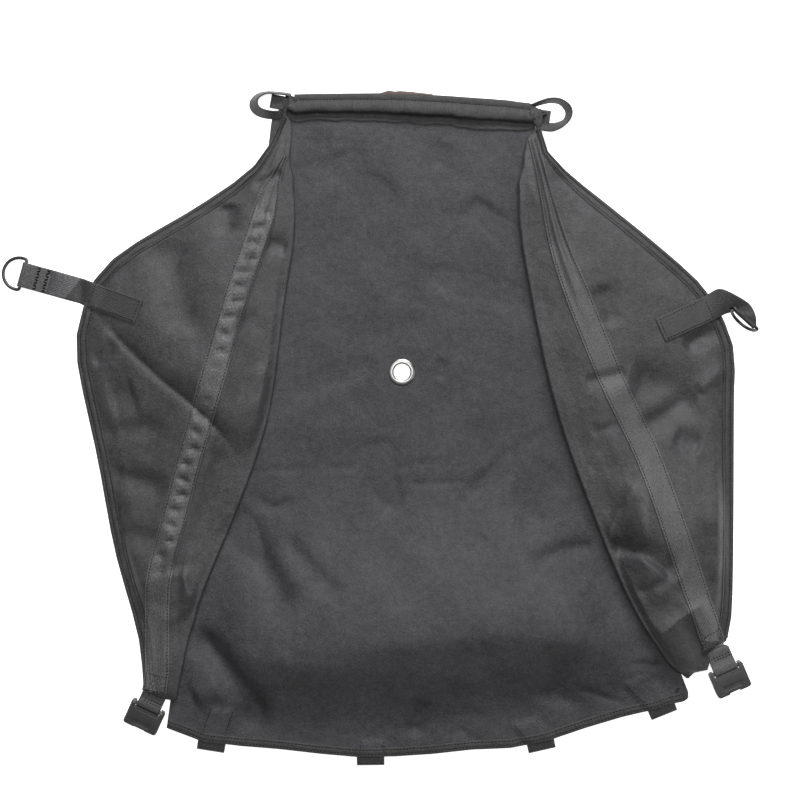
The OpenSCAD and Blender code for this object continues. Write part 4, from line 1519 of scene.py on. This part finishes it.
def build_buckle(side):
    """Socket half: two rails and a bar for the webbing, then a hollow mouth with side windows."""
    p = bpy.context.scene.skirt_sizes
    wide, long, tall = p.buckle_width, p.buckle_length, p.buckle_height
    back, slot_end, wall = -3 * MM, 4.7 * MM, 1.5 * MM
    rail = (wide - p.web_width - 2 * MM) / 2
    front = back + long
    body = add_box((wide, long, tall), (0, back + long / 2, 0))
    bevel_upright_edges(body, 3 * MM)
    inner = slot_end + 6.3 * MM
    cut_with(
        body,
        add_box((wide - 2 * rail, slot_end - back + 4 * MM, 2 * tall),
                (0, (slot_end + back - 4 * MM) / 2, 0)),
        add_box((wide - 8 * MM, long, tall - 2 * wall), (0, inner + long / 2, 0)),
        *[add_box((9 * MM, 7.5 * MM, tall - 2 * wall), (s * wide / 2, inner + 3.75 * MM, 0))
          for s in (-1, 1)],
        *[add_box((wide * 0.52, long * 0.2, 1.2 * MM), (0, inner + 6.4 * MM, s * tall / 2))
          for s in (-1, 1)],
        add_box((wide * 0.3, 3 * MM, 3 * tall), (0, front + 0.2 * MM, 0)),
    )
    round_edges(body, 0.45 * MM, 40, 3)
    bpy.ops.object.select_all(action="DESELECT")
    bpy.ops.mesh.primitive_cylinder_add(
        vertices=28, radius=2 * MM, depth=p.web_width + 3 * MM,
        rotation=(0, math.pi / 2, 0),
    )
    bar = bpy.context.active_object
    bpy.ops.object.transform_apply(location=True, rotation=True, scale=True)
    ribs = []
    for k in range(3):
        y = front - (2.2 + 1.7 * k) * MM
        for s in (-1, 1):
            rib = add_box((wide * 0.16, 0.8 * MM, 0.8 * MM), (s * wide * 0.36, y, tall / 2))
            round_edges(rib, 0.25 * MM, 40, 2)
            ribs.append(rib)
    bpy.ops.object.select_all(action="DESELECT")
    for piece in (bar, *ribs, body):
        piece.select_set(True)
    bpy.context.view_layer.objects.active = body
    bpy.ops.object.join()
    body.name = side + "_buckle"
    body.data.name = body.name
    bpy.ops.object.shade_smooth_by_angle(angle=math.radians(35))
    at, axis = joint(side + "_buckle_swing")
    _, ahead = mount(side + "_buckle_mouth")
    place_in(body, frame_at(at, axis, ahead))
    paint(body, finish_named("buckle_plastic"))
    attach(body, side + "_buckle")
    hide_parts(side + "_buckle_socket")


def build_ring(side):
    """D-ring bent from wire: a straight bar, two short legs and a half circle."""
    p = bpy.context.scene.skirt_sizes
    at, axis = joint(side + "_ring_swing")
    eye, _ = mount(side + "_d_ring_eye")
    ahead = (eye - at).normalized()
    place = frame_at(at, axis, ahead)
    r, legs, bend, wire = p.ring_radius, 4.4 * MM, 2.6 * MM, p.wire
    points = [(x, 0) for x in np.linspace(-(r - bend), r - bend, 9)]
    points += [(r - bend + bend * math.sin(a), bend - bend * math.cos(a))
               for a in np.linspace(0.2, math.pi / 2, 5)]
    points += [(r * math.cos(a), legs + r * math.sin(a)) for a in np.linspace(0, math.pi, 37)]
    points += [(-(r - bend) - bend * math.sin(a), bend - bend * math.cos(a))
               for a in np.linspace(math.pi / 2, 0.2, 5)]
    outline = bpy.data.curves.new(side + "_ring", "CURVE")
    outline.dimensions = "3D"
    outline.bevel_depth = wire
    outline.bevel_resolution = 5
    spline = outline.splines.new("POLY")
    spline.points.add(len(points) - 1)
    for k, (x, y) in enumerate(points):
        spline.points[k].co = (*(place @ Vector((x, y, 0))), 1)
    spline.use_cyclic_u = True
    ring = bpy.data.objects.new(side + "_ring", outline)
    bpy.context.scene.collection.objects.link(ring)
    only(ring)
    bpy.ops.object.convert(target="MESH")
    ring = bpy.context.active_object
    bpy.ops.object.mode_set(mode="EDIT")
    bpy.ops.mesh.select_all(action="SELECT")
    bpy.ops.mesh.remove_doubles(threshold=1e-6)
    bpy.ops.mesh.normals_make_consistent(inside=False)
    bpy.ops.object.mode_set(mode="OBJECT")
    bpy.ops.object.shade_smooth()
    paint(ring, finish_named("dark_plate"))
    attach(ring, side + "_ring")
    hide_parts(side + "_d_ring")


def turned(name, profile, centre, steps=72):
    """A ring turned about an upright axis from a closed profile of radius and height."""
    bpy.ops.object.select_all(action="DESELECT")
    bpy.ops.mesh.primitive_circle_add(vertices=len(profile), radius=1)
    obj = bpy.context.active_object
    obj.name = obj.data.name = name
    for vertex, (r, z) in zip(obj.data.vertices, profile):
        vertex.co = (r, 0, z)
    bpy.ops.object.mode_set(mode="EDIT")
    bpy.ops.mesh.select_all(action="SELECT")
    bpy.ops.mesh.spin(steps=steps, angle=2 * math.pi, center=(0, 0, 0), axis=(0, 0, 1))
    bpy.ops.mesh.select_all(action="SELECT")
    bpy.ops.mesh.remove_doubles(threshold=1e-6)
    bpy.ops.mesh.normals_make_consistent(inside=False)
    bpy.ops.object.mode_set(mode="OBJECT")
    obj.data.transform(Matrix.Translation((centre.x, centre.y, 0)))
    bpy.ops.object.shade_smooth_by_angle(angle=math.radians(40))
    return obj


def build_grommet():
    low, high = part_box("grommet")
    bore, _ = mount("grommet_bore")
    r = next(m for m in frame["record"]["mounts"] if m["name"] == "grommet_bore")["dims"]["r_mm"]
    inner, outer = r * MM, (high.x - low.x) / 2
    top, base = high.z, low.z
    profile = [(inner + 1.0 * MM, base), (inner + 0.1 * MM, base), (inner, base + 0.2 * MM)]
    profile += [
        (inner + 1.9 * MM - 1.9 * MM * math.cos(a), top - 1.9 * MM + 1.9 * MM * math.sin(a))
        for a in np.linspace(0, math.pi / 2, 9)
    ]
    width = outer - inner - 1.9 * MM
    profile += [
        (inner + 1.9 * MM + width * t, top - (0.12 + 0.9 * t**2.2) * MM) for t in (0.3, 0.6, 0.85)
    ]
    profile += [(outer - 0.1 * MM, top - 1.35 * MM), (outer, top - 1.7 * MM),
                (outer - 0.5 * MM, top - 1.95 * MM), (outer - 1.6 * MM, top - 1.5 * MM),
                (inner + 3 * MM, top - 1.2 * MM), (inner + 1.2 * MM, top - 2.0 * MM)]
    eyelet = turned("grommet_eyelet", profile, bore)
    paint(eyelet, finish_named("nickel_plate"))
    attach(eyelet, "deck")
    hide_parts("grommet")
    low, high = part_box("grommet_washer")
    inner, outer = inner + 1.4 * MM, (high.x - low.x) / 2
    base, top = low.z, high.z
    profile = [
        (inner, base + 0.3 * MM), (inner + 0.3 * MM, base), (inner + 1.6 * MM, base),
        (outer - 0.6 * MM, base + 0.25 * MM), (outer, base + 0.7 * MM),
        (outer - 0.3 * MM, top - 0.05 * MM), (outer - 1.2 * MM, top), (inner + 0.4 * MM, top),
        (inner, top - 0.3 * MM),
    ]
    washer = turned("grommet_backing", profile, bore)
    paint(washer, finish_named("nickel_plate"))
    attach(washer, "deck")
    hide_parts("grommet_washer")


def build_tacks():
    """Bar tack where the lower right corner is sewn through."""
    deck = made["on_deck"]
    corner = made["bottom_edge"][-1]
    rows = []
    for d in (9, 10.2, 11.4):
        centre = corner + np.array([-d, 6.5]) * MM
        rows.append(even(np.stack([centre + np.array([-2, -3]) * MM,
                                   centre + np.array([2, 3]) * MM]), 8))
    threads = sew("corner_tack", rows, deck, 0.2, 2.0)
    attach(threads, "deck")


# ---------------------------------------------------------------- stage


def area_light(name, place, target, size, watts, colour=(1, 1, 1)):
    data = bpy.data.lights.new(name, "AREA")
    data.shape = "RECTANGLE"
    data.size, data.size_y = size
    data.energy = watts
    data.color = colour
    lamp = bpy.data.objects.new(name, data)
    lamp.location = place
    lamp.rotation_euler = (Vector(target) - Vector(place)).to_track_quat("-Z", "Y").to_euler()
    bpy.context.scene.collection.objects.link(lamp)


def build_stage():
    scene = bpy.context.scene
    p = scene.skirt_stage
    bpy.ops.object.select_all(action="DESELECT")
    bpy.ops.mesh.primitive_grid_add(x_subdivisions=8, y_subdivisions=8, size=9)
    floor = bpy.context.active_object
    floor.name = "floor"
    paint(floor, floor_material())
    floor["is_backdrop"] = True
    area_light("window", (0.3, 1.9, 1.25), (0.05, 0, 0), (1.3, 0.7), p.key)
    area_light("ceiling", (-0.05, 0.5, 2.9), (0, 0, 0), (1.5, 1.5), p.fill)
    area_light("low_side", (1.9, -0.3, 0.9), (0, 0, 0), (0.9, 0.6), p.side)
    world = bpy.data.worlds.new("studio")
    scene.world = world
    world.use_nodes = True
    world.node_tree.nodes["Background"].inputs[0].default_value = (1, 1, 1, 1)
    world.node_tree.nodes["Background"].inputs[1].default_value = p.ambient
    data = bpy.data.cameras.new("overhead")
    data.lens = 100
    data.sensor_width = 36
    data.clip_end = 20
    camera = bpy.data.objects.new("overhead", data)
    scene.collection.objects.link(camera)
    low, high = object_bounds()
    camera.location = (
        (low[0] + high[0]) / 2 + p.right, (low[1] + high[1]) / 2 + p.up, p.distance
    )
    scene.camera = camera
    scene.view_settings.view_transform = "Standard"
    scene.view_settings.look = "None"


# ---------------------------------------------------------------- settings, operators, panel


class SkirtSizes(bpy.types.PropertyGroup):
    cloth: bpy.props.FloatProperty(
        name="Cloth", description="Thickness of the deck and wing cloth",
        default=0.0009, min=0.0004, max=0.0016, precision=4, unit="LENGTH")
    webbing: bpy.props.FloatProperty(
        name="Webbing", description="Thickness of the webbing",
        default=0.0015, min=0.001, max=0.002, precision=4, unit="LENGTH")
    web_width: bpy.props.FloatProperty(
        name="Webbing width", description="Width of the webbing",
        default=0.025, min=0.02, max=0.027, precision=4, unit="LENGTH")
    roll: bpy.props.FloatProperty(
        name="Roll", description="Depth of the wings' rolled inner edge",
        default=0.0022, min=0.0012, max=0.003, precision=4, unit="LENGTH")
    rise_left: bpy.props.FloatProperty(
        name="Left rise", description="Height of the left rolled edge",
        default=0.0065, min=0.003, max=0.012, precision=4, unit="LENGTH")
    rise_right: bpy.props.FloatProperty(
        name="Right rise", description="Height of the right rolled edge",
        default=0.012, min=0.003, max=0.014, precision=4, unit="LENGTH")
    wing_folds: bpy.props.FloatProperty(
        name="Wing folds", description="Strength of the wings' folds",
        default=1.5, min=0.0, max=2.0)
    pucker: bpy.props.FloatProperty(
        name="Puckers", description="Depth of the left strap's puckers",
        default=0.003, min=0.0, max=0.0035, precision=4, unit="LENGTH")
    deck_folds: bpy.props.FloatProperty(
        name="Deck folds", description="Strength of the deck's folds",
        default=1.45, min=0.0, max=2.0)
    stitch: bpy.props.FloatProperty(
        name="Stitch", description="Distance between stitches",
        default=0.0034, min=0.002, max=0.006, precision=4, unit="LENGTH")
    wire: bpy.props.FloatProperty(
        name="Ring wire", description="Radius of the D-rings' wire",
        default=0.0017, min=0.001, max=0.002, precision=4, unit="LENGTH")
    ring_radius: bpy.props.FloatProperty(
        name="Ring arc", description="Radius of the D-rings' arc",
        default=0.016, min=0.014, max=0.018, precision=4, unit="LENGTH")
    buckle_width: bpy.props.FloatProperty(
        name="Buckle width", description="Width of the buckle sockets",
        default=0.036, min=0.034, max=0.038, precision=4, unit="LENGTH")
    buckle_length: bpy.props.FloatProperty(
        name="Buckle length", description="Length of the buckle sockets",
        default=0.027, min=0.025, max=0.03, precision=4, unit="LENGTH")
    buckle_height: bpy.props.FloatProperty(
        name="Buckle height", description="Height of the buckle sockets",
        default=0.01, min=0.009, max=0.011, precision=4, unit="LENGTH")


def colour_property(name, description, value):
    return bpy.props.FloatVectorProperty(
        name=name, description=description, subtype="COLOR", size=3, min=0, max=1, default=value)


class SkirtFinish(bpy.types.PropertyGroup):
    cloth: colour_property("Deck cloth", "Colour of the deck's twill", (0.0305, 0.0303, 0.0330))
    wing: colour_property("Wing cloth", "Colour of the wings' twill", (0.031, 0.0302, 0.032))
    hem: colour_property("Hem cloth", "Colour of the folded hems", (0.026, 0.026, 0.027))
    # Painted shade: the casing is the deck's cloth, made darker for the shade along the top edge.
    casing: colour_property("Casing cloth", "Colour of the casing's cloth", (0.018, 0.018, 0.019))
    webbing: colour_property("Strap webbing", "Colour of the straps", (0.050, 0.050, 0.052))
    tab: colour_property("Tab webbing", "Colour of the tabs and loops", (0.020, 0.020, 0.021))
    plastic: colour_property("Buckles", "Colour of the moulded buckles", (0.030, 0.030, 0.031))
    nickel: colour_property("Nickel", "Colour of the grommet", (0.29, 0.287, 0.28))
    dark_plate: colour_property("Rings", "Colour of the D-rings", (0.055, 0.055, 0.055))
    thread: colour_property("Thread", "Colour of the sewing thread", (0.006, 0.006, 0.0065))
    tape: colour_property("Label", "Colour of the blank woven label", (0.12, 0.085, 0.078))
    sheen: bpy.props.FloatProperty(
        name="Sheen", description="How much the cloth catches grazing light",
        default=0.05, min=0, max=1, subtype="FACTOR")
    twill: bpy.props.FloatProperty(
        name="Twill", description="Distance between the twill's ribs",
        default=0.001, min=0.0004, max=0.002, precision=4, unit="LENGTH")
    rib: bpy.props.FloatProperty(
        name="Webbing rib", description="Distance between the webbing's ribs",
        default=0.0017, min=0.001, max=0.003, precision=4, unit="LENGTH")


class SkirtStage(bpy.types.PropertyGroup):
    key: bpy.props.FloatProperty(
        name="Window", description="Power of the low light from the top right",
        default=66.0, min=0, unit="POWER")
    fill: bpy.props.FloatProperty(
        name="Ceiling", description="Power of the soft light from above",
        default=58.0, min=0, unit="POWER")
    side: bpy.props.FloatProperty(
        name="Side", description="Power of the small light from the right",
        default=4.0, min=0, unit="POWER")
    ambient: bpy.props.FloatProperty(
        name="Ambient", description="Brightness of the surroundings", default=0.16, min=0)
    distance: bpy.props.FloatProperty(
        name="Distance", description="Height of the camera", default=2.232, min=1,
        unit="LENGTH")
    right: bpy.props.FloatProperty(
        name="Right", description="Camera's offset to the right", default=0.0203, precision=4,
        unit="LENGTH")
    up: bpy.props.FloatProperty(
        name="Up", description="Camera's offset towards the top edge", default=0.0282,
        precision=4, unit="LENGTH")


class SKIRT_OT_stage(bpy.types.Operator):
    """Adds the floor, the lights and the camera"""

    bl_idname = "skirt.stage"
    bl_label = "Stage"

    def execute(self, context):
        build_stage()
        return {"FINISHED"}


class SKIRT_OT_deck(bpy.types.Operator):
    """Adds the deck cloth with its folds"""

    bl_idname = "skirt.deck"
    bl_label = "Deck"

    def execute(self, context):
        build_deck()
        return {"FINISHED"}


class SKIRT_OT_top_edge(bpy.types.Operator):
    """Adds the casing, its webbing and the blank label"""

    bl_idname = "skirt.top_edge"
    bl_label = "Top edge"

    def execute(self, context):
        build_top_edge()
        return {"FINISHED"}


class SKIRT_OT_wings(bpy.types.Operator):
    """Adds the two wings, rolled over the deck along their inner edge"""

    bl_idname = "skirt.wings"
    bl_label = "Wings"

    def execute(self, context):
        for side in WAY:
            build_wing(side)
        return {"FINISHED"}


class SKIRT_OT_hems(bpy.types.Operator):
    """Adds the turned and stitched hems"""

    bl_idname = "skirt.hems"
    bl_label = "Hems"

    def execute(self, context):
        for side in WAY:
            build_wing_hem(side)
        build_bottom_hem()
        build_tacks()
        return {"FINISHED"}


class SKIRT_OT_straps(bpy.types.Operator):
    """Adds the webbing straps that are sewn to the wings"""

    bl_idname = "skirt.straps"
    bl_label = "Straps"

    def execute(self, context):
        for side in WAY:
            build_strap(side)
        return {"FINISHED"}


class SKIRT_OT_tabs(bpy.types.Operator):
    """Adds the side tabs that hold the D-rings"""

    bl_idname = "skirt.tabs"
    bl_label = "Tabs"

    def execute(self, context):
        build_left_tab()
        build_right_tab()
        return {"FINISHED"}


class SKIRT_OT_tails(bpy.types.Operator):
    """Adds the strap ends that hold the buckles"""

    bl_idname = "skirt.tails"
    bl_label = "Strap tails"

    def execute(self, context):
        for side in WAY:
            build_tail(side)
        return {"FINISHED"}


class SKIRT_OT_loops(bpy.types.Operator):
    """Adds the corner loops and the loops under the bottom hem"""

    bl_idname = "skirt.loops"
    bl_label = "Loops"

    def execute(self, context):
        build_top_loops()
        build_bottom_loops()
        return {"FINISHED"}


class SKIRT_OT_buckles(bpy.types.Operator):
    """Adds the two buckle sockets"""

    bl_idname = "skirt.buckles"
    bl_label = "Buckles"

    def execute(self, context):
        for side in WAY:
            build_buckle(side)
        return {"FINISHED"}


class SKIRT_OT_rings(bpy.types.Operator):
    """Adds the two D-rings"""

    bl_idname = "skirt.rings"
    bl_label = "D-rings"

    def execute(self, context):
        for side in WAY:
            build_ring(side)
        return {"FINISHED"}


class SKIRT_OT_grommet(bpy.types.Operator):
    """Adds the two-part grommet in the deck"""

    bl_idname = "skirt.grommet"
    bl_label = "Grommet"

    def execute(self, context):
        build_grommet()
        return {"FINISHED"}


# In the order in which the pieces are built, because each lies on those before it.
OPERATORS = [
    SKIRT_OT_stage, SKIRT_OT_deck, SKIRT_OT_top_edge, SKIRT_OT_wings, SKIRT_OT_hems,
    SKIRT_OT_straps, SKIRT_OT_tabs, SKIRT_OT_tails, SKIRT_OT_loops, SKIRT_OT_buckles,
    SKIRT_OT_rings, SKIRT_OT_grommet,
]


class SKIRT_PT_panel(bpy.types.Panel):
    """Lists the skirt's pieces and settings"""

    bl_idname = "SKIRT_PT_panel"
    bl_label = "Spray skirt"
    bl_space_type = "VIEW_3D"
    bl_region_type = "UI"
    bl_category = "Spray skirt"

    def draw(self, context):
        for cls in OPERATORS:
            self.layout.operator(cls.bl_idname)
        for name in ("skirt_sizes", "skirt_finish", "skirt_stage"):
            group = getattr(context.scene, name)
            box = self.layout.box()
            for key in group.__annotations__:
                box.prop(group, key)


CLASSES = [SkirtSizes, SkirtFinish, SkirtStage, *OPERATORS, SKIRT_PT_panel]


def register():
    for cls in CLASSES:
        bpy.utils.register_class(cls)
    bpy.types.Scene.skirt_sizes = bpy.props.PointerProperty(type=SkirtSizes)
    bpy.types.Scene.skirt_finish = bpy.props.PointerProperty(type=SkirtFinish)
    bpy.types.Scene.skirt_stage = bpy.props.PointerProperty(type=SkirtStage)


def unregister():
    for name in ("skirt_sizes", "skirt_finish", "skirt_stage"):
        delattr(bpy.types.Scene, name)
    for cls in reversed(CLASSES):
        bpy.utils.unregister_class(cls)


def main():
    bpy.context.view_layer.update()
    register()
    for cls in OPERATORS:
        getattr(bpy.ops.skirt, cls.bl_idname.split(".")[1])()
    bpy.context.view_layer.update()


if __name__ == "__main__":
    main()
